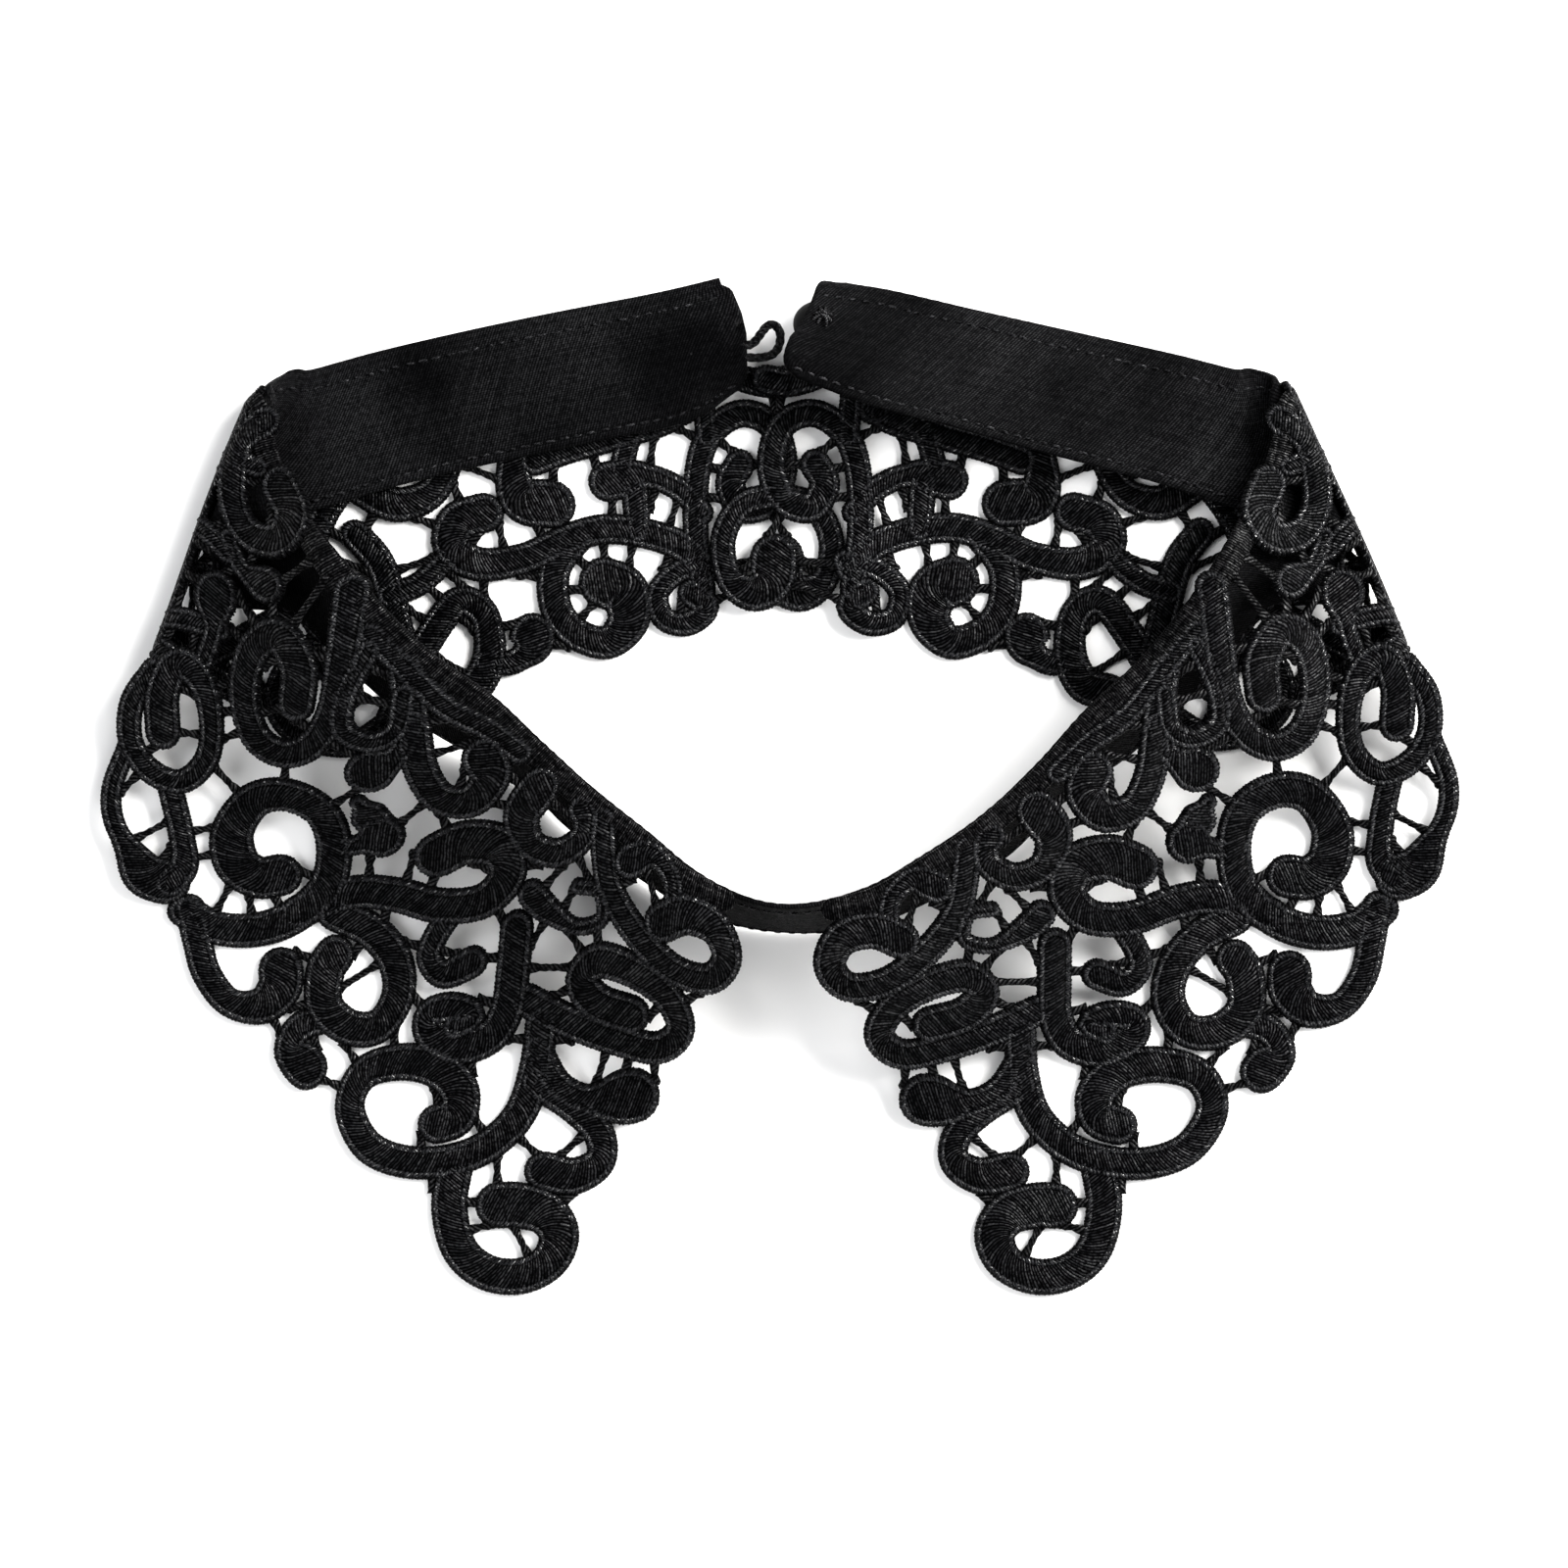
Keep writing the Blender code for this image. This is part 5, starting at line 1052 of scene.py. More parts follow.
# Lines through the outer scrolls, inside which the thread bars are thrown: the front's edge, the back's
# inner edge and the back's edge at the band (pixels)
FRONT_EDGE = (
    (793, 900), (858, 955), (846, 985), (897, 1050), (943, 1121), (978, 1180), (1018, 1262), (1058, 1302),
    (1127, 1240), (1185, 1187), (1236, 1130), (1300, 1090), (1345, 1030), (1394, 995), (1425, 900),
    (1448, 880), (1478, 800), (1459, 715), (1432, 668), (1400, 560), (1330, 430), (1300, 415),
)
BACK_INNER_EDGE = (
    (740, 560), (742, 596), (800, 600), (885, 634), (975, 652), (1056, 665), (1110, 694), (1196, 740),
    (1285, 735), (1390, 665), (1420, 640),
)
BACK_BAND_EDGE = ((1290, 392), (1000, 322), (850, 300), (790, 395))


def stroke_discs():
    """Every scroll, then the plain strip, as rows of discs (x, y, radius) in the flat pattern."""
    discs = []
    for group, rows in SCROLL_GROUPS.items():
        for _, stem, end, line in rows:
            points = scroll_line(group, line, DISC_STEP)
            discs.append(np.column_stack((points, half_width(run_along(points), stem, end))))
    strip = heading_line()
    return discs + [np.column_stack((strip, np.full(len(strip), HEADING / 2)))]


def inside_polygon(points, polygon):
    """Even-odd test for many points."""
    inside = np.zeros(len(points), dtype=bool)
    x, y = points[:, 0], points[:, 1]
    for (x0, y0), (x1, y1) in zip(polygon, np.roll(polygon, -1, axis=0)):
        crosses = (y0 > y) != (y1 > y)
        with np.errstate(divide="ignore", invalid="ignore"):
            at = (x1 - x0) * (y - y0) / (y1 - y0) + x0
        inside ^= crosses & (x < at)
    return inside


class GapField:
    """Distance to the lace on a grid over the flat pattern: negative inside it, GAP_CAP at most."""

    def __init__(self, discs):
        """At each grid point the least, over all discs, of the distance to the middle less the radius."""
        self.low = discs[:, :2].min(axis=0) - GRID_RIM
        high = discs[:, :2].max(axis=0) + GRID_RIM
        self.shape = tuple(np.ceil((high - self.low) / GRID_STEP).astype(int) + 1)
        self.value = np.full(self.shape, GAP_CAP)
        for x, y, r in discs:
            reach = r + GAP_CAP
            i0, j0 = np.maximum(((x - reach, y - reach) - self.low) / GRID_STEP, 0).astype(int)
            i1, j1 = (((x + reach, y + reach) - self.low) / GRID_STEP).astype(int) + 2
            block = self.value[i0:i1, j0:j1]
            gx = self.low[0] + GRID_STEP * np.arange(i0, i0 + block.shape[0])
            gy = self.low[1] + GRID_STEP * np.arange(j0, j0 + block.shape[1])
            gap = np.hypot(gx[:, None] - x, gy[None, :] - y) - r
            np.minimum(block, gap, out=block)

    def at(self, points):
        """The field at any points, by straight blends between the four grid points round each."""
        place = (points - self.low) / GRID_STEP
        cell = np.clip(place.astype(int), 0, np.array(self.shape) - 2)
        f = place - cell
        i, j = cell[:, 0], cell[:, 1]
        v = self.value
        return ((1 - f[:, 0]) * ((1 - f[:, 1]) * v[i, j] + f[:, 1] * v[i, j + 1])
                + f[:, 0] * ((1 - f[:, 1]) * v[i + 1, j] + f[:, 1] * v[i + 1, j + 1]))


def back_edge():
    """The back's own bar limit in the flat pattern: neck edge, then the scalloped inner edge."""
    corner = from_roll(np.full(2, BACK_BARS_END), np.array([-ROLL_ARC, BACK_BARS_OVER]))
    neck = from_roll(np.zeros(1), np.array([BACK_BARS_OVER]))
    top = unfold_back(to_mm(BACK_BAND_EDGE))
    return np.vstack((unfold_back(to_mm(BACK_INNER_EDGE)), corner, neck, top))


def thread_bars(discs, field):
    """Bars thrown straight across each gap from the scroll edges, spaced apart, none in an eye."""
    limits = (np.vstack((to_mm(FRONT_EDGE), NECK_POINTS[:FRONT_COUNT][::-1])), back_edge())
    eyes = np.array(OPEN_EYES, dtype=float)
    eye_centre = to_mm(eyes[:, :2])
    found = []
    for stroke in discs:
        tangent = np.gradient(stroke[:, :2], axis=0)
        tangent /= np.linalg.norm(tangent, axis=1)[:, None] + 1e-9
        across = np.column_stack((tangent[:, 1], -tangent[:, 0]))
        for i in range(1, len(stroke), 2):
            for sign in (-1, 1):
                start = stroke[i, :2] + across[i] * sign * (stroke[i, 2] + BAR_START)
                steps = np.arange(0.0, BAR_REACH, RAY_STEP)
                ray = start + np.outer(steps, across[i] * sign)
                gap = field.at(ray)
                if gap[:3].min() < RAY_FREE:
                    continue
                hits = np.nonzero(gap < 0)[0]
                if len(hits) == 0 or steps[hits[0]] < BAR_LEAST:
                    continue
                found.append((steps[hits[0]], start, ray[hits[0]]))
    found.sort(key=lambda bar: bar[0])
    kept = []
    for length, a, b in found:
        middle = (a + b) / 2
        within = any(inside_polygon(middle[None, :], limit)[0] for limit in limits)
        if not within and length > BAR_PAST_EDGE:
            continue
        if (np.linalg.norm(eye_centre - middle, axis=1) < eyes[:, 2] / PIXELS_PER_MM).any():
            continue
        spaced = all(np.linalg.norm(a - c) > END_SPACE and np.linalg.norm(b - d) > END_SPACE
                     and np.linalg.norm(a - d) > END_SPACE and np.linalg.norm(b - c) > END_SPACE
                     and np.linalg.norm(middle - (c + d) / 2) > MIDDLE_SPACE for c, d in kept)
        if spaced:
            kept.append((a, b))
    return kept


def cut_neck(field):
    """Nothing reaches past the neck seam, and the outer edge has its notch at the end of the roll."""
    gx = field.low[0] + GRID_STEP * np.arange(field.shape[0])
    gy = field.low[1] + GRID_STEP * np.arange(field.shape[1])
    grid = np.array(np.meshgrid(gx, gy, indexing="ij")).reshape(2, -1).T
    line = spline(NECK_POINTS, 1.5)
    neck = np.vstack((line, line[-1] + NECK_STEP, NECK_CORNER, (NECK_CORNER[0], line[0][1])))
    edge, _ = nearest_on_line(grid, NECK_POINTS, NECK_HEIGHTS)
    back_end = (NECK_POINTS[-1] - grid) @ np.array(END_WAY) < 0
    past = inside_polygon(grid, neck) & ~back_end
    value = field.value.reshape(-1)
    value[past] = np.maximum(value[past], np.minimum(edge[past], GAP_CAP))
    along, inward = roll_coordinates(grid)
    middle = 0.5 * (ROLL_END + FLAT_START)
    notch = np.minimum(NOTCH_HALF - np.abs(along - middle),
                       np.minimum(-NOTCH_ROOM - inward, inward + ROLL_ARC + NOTCH_RUN))
    np.maximum(value, np.minimum(notch, GAP_CAP), out=value)
    field.value = value.reshape(field.shape)


def tube_ends(sides):
    """Triangles that close a tube's first ring, fanned out from its first point."""
    middle = np.arange(1, sides - 1)
    return np.stack((0 * middle, middle, middle + 1), axis=-1)


def bar_part(a, b, side):
    """One bar: an oval tube along a straight line in the pattern.

    Its width falls from each end by an exponential of the distance, and a cosine of the twist ridges it.
    """
    length = np.linalg.norm(b - a)
    forward = (b - a) / length
    a, b = a - forward * BAR_TUCK, b + forward * BAR_TUCK
    length += 2 * BAR_TUCK
    count = max(5, int(length / BAR_STEP) + 1)
    share = np.linspace(0, 1, count)
    turn = np.linspace(0, 2 * math.pi, BAR_SIDES, endpoint=False)
    from_edge = np.maximum(np.minimum(share, 1 - share) * length - BAR_TUCK, 0.0)
    slim = 1.04 + BAR_FLARE * np.exp(-from_edge / FLARE_FADE)
    ridge = 1.0 + 0.13 * np.cos(2 * turn[None, :] - 2 * math.pi * share[:, None] * length / BAR_TWIST)
    across = (BAR_WIDTH / 2) * slim[:, None] * ridge * np.cos(turn)
    up = (BAR_HEIGHT / 2) * ridge * np.sin(turn)
    left = np.array((-forward[1], forward[0]))
    flat = a + (share[:, None] * length)[:, :, None] * forward + across[:, :, None] * left
    ends = tube_ends(BAR_SIDES)
    corners = np.vstack((ends, ends[:, ::-1] + (count - 1) * BAR_SIDES))
    points = on_lace(flat.reshape(-1, 2), up.ravel(), side)
    thread = thread_rows(share[:, None] * length, turn)
    return points, thread, np.zeros(up.size), tube_faces(1, count, BAR_SIDES), corners


strokes = stroke_discs()
gap_field = GapField(np.vstack(strokes))
cut_neck(gap_field)
bars = []
for a, b in thread_bars(strokes, gap_field):
    along, inward = roll_coordinates(np.array([a, b]))
    spans_notch = along.min() < ROLL_END + NOTCH_ROOM and along.max() > FLAT_START - NOTCH_ROOM
    if not (spans_notch and inward.min() < -NOTCH_ROOM):
        bars.append((a, b))
for side, node in ((1, "lace_right"), (-1, "lace_left")):
    piece = fill_mesh(node + "_bars", [bar_part(a, b, side) for a, b in bars], side > 0)
    piece.data.materials.append(BAR_FINISH)
    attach(piece, "root")
    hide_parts(node)
    lace_pieces[side].append(piece)


# Neckband
# One long straight strip of black twill, folded double and pressed, with the lace's neck edge sewn on
# behind it and two rows of topstitching.  At the back it lies on the lace, then it turns over with the
# falls and stands on its foot edge round the front of the neck.

# Rows along the band (mm apart), seams in from its top and foot edges, depth of the puckers between their
# stitches and length of a stitch (mm)
BAND_ROW_STEP = 1.54
TOP_SEAM = 3.4
FOOT_SEAM = 1.5
PUCKER = 0.07
STITCH_LENGTH = 2.3
# Cross-section from the top edge: distance (mm) and share of half the wall; past the middle from the foot
BAND_SECTION = ((0.0, 0.0), (0.08, 0.45), (0.28, 0.82), (0.62, 0.98), (1.3, 1.0), (2.2, 1.0), (2.9, 0.98),
                (3.2, 0.86), (3.4, 0.74), (3.6, 0.86), (3.9, 0.98), (5.2, 1.0), (7.0, 1.0), (9.0, 1.0),
                (11.0, 1.0), (13.0, 1.0), (15.0, 1.0), (17.0, 1.0), (18.6, 1.0), (19.6, 1.0), (20.1, 0.98),
                (20.35, 0.86), (20.5, 0.74), (20.7, 0.86), (21.0, 0.98), (21.5, 0.94), (21.75, 0.8),
                (21.92, 0.45), (22.0, 0.0))
# Soft creases pressed in by hand: place along the band (share), run of the crease along the band from top
# edge to foot (mm), half width (mm) and depth (mm)
BAND_CREASES = (
    (0.008, 2.0, 1.6, 0.22), (0.026, -1.5, 2.4, -0.30), (0.047, 3.0, 1.8, 0.26), (0.070, -4.0, 5.5, -0.55),
    (0.098, 2.5, 2.0, 0.30), (0.112, 5.0, 4.2, -0.40), (0.134, -3.0, 1.5, 0.28), (0.152, 2.0, 6.0, -0.60),
    (0.183, 1.0, 1.8, 0.34), (0.205, -2.0, 4.5, -0.35), (0.247, 2.0, 2.0, 0.20), (0.330, -2.0, 3.4, -0.25),
    (0.402, 3.5, 2.6, 0.20), (0.470, -1.0, 4.2, -0.30), (0.535, 1.5, 3.0, 0.18), (0.602, -3.0, 2.4, 0.22),
    (0.688, 2.0, 4.2, -0.30), (0.756, -2.5, 2.2, 0.24), (0.790, 3.0, 3.6, -0.40), (0.814, 4.0, 1.6, 0.34),
    (0.836, -5.0, 5.2, -0.60), (0.862, 2.0, 1.7, 0.30), (0.884, -2.5, 4.0, -0.45), (0.905, 1.0, 1.8, 0.28),
    (0.928, -3.0, 5.0, -0.55), (0.955, 3.0, 2.0, 0.26), (0.972, 2.0, 3.0, -0.35), (0.989, -1.0, 1.5, 0.20),
    (0.9955, 0.6, 0.55, 0.36),
)
# How far the closure ends' edge stands out (mm) at shares of the way from top edge to foot, right and left
END_SHAPE = {
    1: ((0.0, -0.8), (0.03, 0.0), (0.08, 0.5), (0.22, 0.4), (0.5, 0.6), (0.68, 1.9), (0.86, 1.5),
        (0.95, 0.2), (1.0, -2.2)),
    -1: ((0.0, 0.0), (0.09, 0.1), (0.12, 1.5), (0.35, 2.1), (0.55, 1.9), (0.75, 0.9), (0.9, 0.1),
         (1.0, -1.6)),
}
END_REACH = 9.0
# The left half's back lies lower: its top edge's z (mm), and how much of the foot's own rise is left
LEFT_BACK_Z = 2.2
LEFT_RISE = 0.13
# Along the front the band's top edge lies this far under the lace's height, and more at its corner (mm)
BAND_UNDER = 1.7
CORNER_UNDER = 0.9
# Colours of the twill: its black, which is also the painted shade between ribs, and the painted highlight
# on the rib crests
TWILL_DARK = (0.0004, 0.0004, 0.0005)
TWILL_PAINTED_LIGHT = (0.0066, 0.0067, 0.0076)


def band_rulings(side):
    """Top and foot edge points of half the band, closure end first, in millimetres."""
    axis_z = LOW_Z + ROLL_RADIUS
    radius = ROLL_RADIUS - LACE_WALL / 2 - 2 * SEAM_GAP - BAND_WALL / 2
    tops, feet = [], []

    def station(px, py, z, angle, length, foot_z):
        """Adds the top point and, at the band's length from it along the angle, the foot point."""
        top = np.append(to_mm([(px, py)])[0], z)
        run = math.sqrt(max(length ** 2 - (foot_z - z) ** 2, 0.0))
        turn = math.radians(angle)
        tops.append(top)
        feet.append(np.array((top[0] + run * math.cos(turn), top[1] + run * math.sin(turn), foot_z)))

    station(*BAND_ENDS[side])
    for px, py, z, angle, length, foot_z in BAND_BACK[1:]:
        if side < 0:
            z, foot_z = LEFT_BACK_Z, LEFT_BACK_Z + LEFT_RISE * (foot_z - LEFT_BACK_Z)
        station(px, py, z, angle, length, foot_z)
    for theta in np.linspace(math.pi, 0, 5):
        share = 1 - theta / math.pi
        along = BAND_ROLL_TOP[0] + (BAND_ROLL_TOP[1] - BAND_ROLL_TOP[0]) * share
        out = -radius * math.sin(theta)
        z = axis_z + radius * math.cos(theta)
        for reach, rows in ((along, tops), (along + BAND_ROLL_LENGTH, feet)):
            rows.append(np.append(AXIS_START + ALONG * reach + INWARD * out, z))
    for px, py, _, angle, length, foot_z in BAND_FRONT:
        z = front_height(to_mm([(px, py)]))[0]
        z -= BAND_UNDER + CORNER_UNDER * math.exp(-((px - CORNER_MIDDLE) / CORNER_HALF) ** 2)
        station(px, py, z, angle, length, foot_z)
    tops, feet = np.array(tops), np.array(feet)
    if side < 0:
        front = len(BAND_FRONT)
        shift = pull_in(tops[-front:], tops[-front:, :2]) - tops[-front:]
        tops[-front:] += shift
        feet[-front:] += shift
        tops[:, 0] *= -1
        feet[:, 0] *= -1
    return tops, feet


def smooth_rows(rows, knots, step):
    """Hermite curve through rows at uneven knots, each tangent weighted by the gaps on its two sides."""
    gap = np.diff(knots)
    slope = np.diff(rows, axis=0) / gap[:, None]
    tangent = np.vstack((slope[:1], slope[-1:]))
    inner = (slope[:-1] * gap[1:, None] + slope[1:] * gap[:-1, None]) / (gap[:-1] + gap[1:])[:, None]
    tangent = np.vstack((tangent[:1], inner, tangent[1:]))
    out = []
    for i, width in enumerate(gap):
        t = np.linspace(0, 1, max(2, int(np.ceil(width / step))), endpoint=False)[:, None]
        out.append((2 * t ** 3 - 3 * t ** 2 + 1) * rows[i] + (t ** 3 - 2 * t ** 2 + t) * width * tangent[i]
                   + (3 * t ** 2 - 2 * t ** 3) * rows[i + 1] + (t ** 3 - t ** 2) * width * tangent[i + 1])
    return np.vstack(out + [rows[-1:]])


def lie_of_band(grid):
    """The band's grid moved with the half that each point belongs to."""
    points = grid.reshape(-1, 3)
    moved = np.where(points[:, :1] > 0, shift_to_lie(points, 1), shift_to_lie(points, -1))
    return moved.reshape(grid.shape)


def band_grid():
    """Rows round the band's section: points (rows, section, 3) in mm, and along and across coordinates.

    Each row is a straight ruling from top to foot.  A point of the section lies at its distance along the
    ruling, and off it along the surface normal by its share of half the wall, less the creases and puckers.
    """
    right, left = band_rulings(1), band_rulings(-1)
    rows = np.hstack([np.vstack((r, l[::-1][1:])) for r, l in zip(right, left)])
    rows = smooth_rows(rows, run_along(rows), BAND_ROW_STEP)
    tops, feet = rows[:, None, :3], rows[:, None, 3:]
    section = np.array(BAND_SECTION)
    length = np.linalg.norm(feet - tops, axis=2)
    place = np.where(section[:, 0] < BAND_WIDTH / 2, section[:, 0], length - BAND_WIDTH + section[:, 0])
    share = place / length
    middle = lie_of_band(tops + (feet - tops) * share[:, :, None])
    along = run_along(0.5 * (rows[:, :3] + rows[:, 3:]))
    du = np.gradient(middle, axis=0)
    dv = np.broadcast_to(feet - tops, middle.shape)
    normal = np.cross(du, dv)
    normal /= np.linalg.norm(normal, axis=2)[:, :, None]
    forward = np.cross(dv, normal)
    forward /= np.linalg.norm(forward, axis=2)[:, :, None]
    for sign, from_end in ((1, along), (-1, along[-1] - along)):
        shape = np.array(END_SHAPE[sign])
        stand_out = np.interp(share, shape[:, 0], shape[:, 1])
        fade = (1 - smooth_step(from_end / END_REACH))[:, None]
        outward = -forward if np.sum(forward[0, 0] * du[0, 0]) > 0 else forward
        middle = middle + outward * sign * (stand_out * fade)[:, :, None]
    crease = np.zeros(share.shape)
    for where, run, half, depth in BAND_CREASES:
        away = (along[:, None] - where * along[-1] - run * (share - 0.5)) / half
        crease += depth * np.exp(-away ** 2) * np.sin(math.pi * np.clip(share, 0.0, 1.0)) ** 0.5
    near_top = np.maximum(1 - place / (TOP_SEAM + 0.6), 0)
    near_foot = np.maximum(1 - (length - place) / (FOOT_SEAM + 1.2), 0)
    pucker = PUCKER * (near_top + near_foot) * np.sin(2 * math.pi * along[:, None] / STITCH_LENGTH)
    return middle, normal, section[:, 1], crease, pucker, along, place


middle, normal, wall_share, crease, pucker, along, place = band_grid()
# The shown face is the one that looks up at the back, ten rows from the right end
shown = 1.0 if normal[10, 14, 2] > 0 else -1.0
half_wall = BAND_WALL / 2 * wall_share
shown_side = middle + normal * shown * (half_wall - crease + pucker)[:, :, None]
hidden_side = middle - normal * shown * (half_wall - 0.3 * pucker)[:, :, None]
# Each row of the mesh is a ring: over the shown face from top to foot, and back behind it
ring = np.concatenate((shown_side, hidden_side[:, ::-1][:, 1:-1]), axis=1)
place_ring = np.concatenate((place, place[:, ::-1][:, 1:-1]), axis=1)
ring_count = ring.shape[1]
sections = len(BAND_SECTION)
a = np.arange(1, sections - 2)
cap = np.stack((a, a + 1, ring_count - a - 1, ring_count - a), axis=-1)
cap_corners = np.array(((0, 1, ring_count - 1), (sections - 2, sections - 1, sections)))
last = (len(along) - 1) * ring_count
band_quads = np.vstack((tube_faces(1, len(along), ring_count)[:, TURNED_OVER], cap[:, ::-1], cap + last))
band_corners = np.vstack((cap_corners[:, ::-1], cap_corners + last))
band_part = (laid(ring.reshape(-1, 3)), thread_rows(along[:, None], place_ring),
             np.zeros(place_ring.size), band_quads, band_corners)
neckband = fill_mesh("neckband_twill", [band_part], False)


def twill_finish():
    """Twill: fine diagonal ribs crossed by the gaps between yarns, with lint and a slow unevenness.

    Relief is the ribs' height times half of one plus the yarns' height, and the colour's lightness is its
    power: a painted highlight on the rib crests, under painted glints.
    """
    material, tree, shader = new_finish("black twill")
    parts = wire(tree, "ShaderNodeSeparateXYZ", {"Vector": attribute_of(tree, "thread", "Vector")}).outputs
    ribs = place_group(tree, STITCH_ROWS, Run=parts["X"], Across=parts["Y"], Slant=0.62, Pitch=0.52,
                       Wander=0.12).outputs
    yarns = place_group(tree, STITCH_ROWS, Run=parts["Y"], Across=parts["X"], Slant=0.0, Pitch=0.36,
                        Wander=0.12).outputs
    fibre = place_group(tree, FIBRE, Fine=3600.0, Slow=30.0).outputs
    relief = sum_up(tree, "MULTIPLY", ribs["Height"],
                    sum_up(tree, "MULTIPLY_ADD", yarns["Height"], 0.5, 0.5))
    # Painted highlight: lightness is the relief to the power 2.6, times the random tone of ribs and yarns.
    painted_light_and_tone = sum_up(tree, "MULTIPLY", sum_up(tree, "POWER", relief, 2.6),
                    sum_up(tree, "MULTIPLY_ADD", ribs["Shade"], 0.35, 0.5))
    painted_light_and_tone = sum_up(tree, "MULTIPLY", painted_light_and_tone, sum_up(tree, "MULTIPLY_ADD", yarns["Shade"], 0.5, 0.7))
    # Painted glints from noise, then the slow random unevenness and the lint.
    painted_light_and_tone = sum_up(tree, "MULTIPLY", painted_light_and_tone, ramp(tree, fibre["Painted_glints"], 0.34, 0.68, 0.35, 1.65))
    painted_light_and_tone = sum_up(tree, "MULTIPLY", painted_light_and_tone, ramp(tree, fibre["Unevenness"], 0.36, 0.62, 0.3, 1.7))
    lint = wire(tree, "ShaderNodeTexVoronoi", {"Vector": wire(tree, "ShaderNodeTexCoord").outputs["Object"],
                                               "Scale": 420.0}).outputs["Distance"]
    painted_light_and_tone = sum_up(tree, "ADD", painted_light_and_tone, ramp(tree, lint, 0.05, 0.11, 0.55, 0.0))
    colour = blend_of(tree, painted_light_and_tone, (*TWILL_DARK, 1.0), (*TWILL_PAINTED_LIGHT, 1.0))
    tree.links.new(colour, shader.inputs["Base Color"])
    tree.links.new(sum_up(tree, "MULTIPLY_ADD", fibre["Streaks"], 0.25, 0.55), shader.inputs["Roughness"])
    full = sum_up(tree, "MULTIPLY_ADD", fibre["Streaks"], 0.4, relief)
    bump = wire(tree, "ShaderNodeBump", {"Height": full, "Distance": 0.00011, "Strength": 0.9})
    tree.links.new(bump.outputs["Normal"], shader.inputs["Normal"])
    shine = sum_up(tree, "MULTIPLY", painted_light_and_tone, 0.10)
    tree.links.new(shine, shader.inputs["Specular IOR Level"])
    shader.inputs["Sheen Weight"].default_value = 0.01
    shader.inputs["Sheen Roughness"].default_value = 0.5
    return material


neckband.data.materials.append(twill_finish())
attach(neckband, "root")
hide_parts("neckband")


# Topstitching
# Two rows of black sewing thread hold the band's folded edges down, about four stitches to the centimetre.
# Each stitch is a short arc of thread that dips into the cloth at both ends.

# What shows of a stitch, its thread's radius and how high it stands at its middle (mm), its rings and sides
STITCH_SHOWN = 1.7
THREAD_RADIUS = 0.23
STITCH_RISE = 0.20
STITCH_RINGS = 7
THREAD_SIDES = 6
# Places of the two rows in the band's section: the troughs near its top and foot edges
SEAM_COLUMNS = (8, 22)


def stitch_row(line, normals):
    """Stitches along a line: thin tubes that sink by a fourth power toward both ends, as one part.

    Sines of the place along the line shift and lean each stitch a little.
    """
    run = run_along(line)
    at = np.arange(0.9 * STITCH_LENGTH, run[-1] - STITCH_LENGTH, STITCH_LENGTH)
    at = at + 0.12 * np.sin(at * 1.7) + 0.08 * np.sin(at * 4.1)

    def along_line(values, places):
        """The values of the line's points at places between them."""
        return np.column_stack([np.interp(places, run, values[:, c]) for c in range(3)])

    centre = along_line(line, at)
    forward = along_line(line, at + 0.4) - along_line(line, at - 0.4)
    forward /= np.linalg.norm(forward, axis=1)[:, None]
    up = along_line(normals, at)
    up /= np.linalg.norm(up, axis=1)[:, None]
    side = np.cross(up, forward)
    forward = forward + side * (0.10 * np.sin(at * 2.9))[:, None]
    x = np.linspace(-1.0, 1.0, STITCH_RINGS)
    turn = np.linspace(0, 2 * math.pi, THREAD_SIDES, endpoint=False)
    ahead = (x * STITCH_SHOWN / 2)[None, :, None]
    rise = STITCH_RISE * (1 - 1.5 * x ** 4)
    radius = THREAD_RADIUS * np.maximum(1 - 0.75 * np.abs(x) ** 5, 0.0)
    points = (centre[:, None, None, :] + forward[:, None, None, :] * ahead[..., None]
              + up[:, None, None, :] * (rise[:, None] + radius[:, None] * np.sin(turn))[None, :, :, None]
              + side[:, None, None, :] * (radius[:, None] * np.cos(turn))[None, :, :, None])
    ends = tube_ends(THREAD_SIDES)
    start = (np.arange(len(at)) * STITCH_RINGS * THREAD_SIDES)[:, None, None]
    far_start = start + (STITCH_RINGS - 1) * THREAD_SIDES
    corners = np.vstack(((start + ends).reshape(-1, 3), (far_start + ends[:, [0, 2, 1]]).reshape(-1, 3)))
    return (laid(points.reshape(-1, 3)), thread_rows(at[:, None, None] + ahead, turn),
            np.zeros(points.size // 3), tube_faces(len(at), STITCH_RINGS, THREAD_SIDES), corners)


seams = []
for column in SEAM_COLUMNS:
    seams.append(stitch_row(shown_side[:, column], normal[:, column] * shown))
    seams.append(stitch_row(hidden_side[:, column], -normal[:, column] * shown))
topstitching = fill_mesh("neckband_topstitching", seams, False)
# Its lighter colour is the painted highlight on the stitches' crowns.
SEWING_FINISH = thread_finish("sewing thread", 0.5, 0.5, False, (0.030, 0.030, 0.033), 0.0001)
topstitching.data.materials.append(SEWING_FINISH)
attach(topstitching, "root")
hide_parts("neckband")


# Button
# A small black moulded button sits under the band's right end, sewn through the band from behind.  It is
# turned about its own axis: a flat back, a rolled rim, a groove inside the rim and a low domed middle.

# Its place in from the band's end and from its top edge, its radius, and the thread between band and button
BUTTON_ALONG = 2.4
BUTTON_ACROSS = 7.2
BUTTON_RADIUS = 4.8
BUTTON_SHANK = 0.8
BUTTON_SIDES = 64
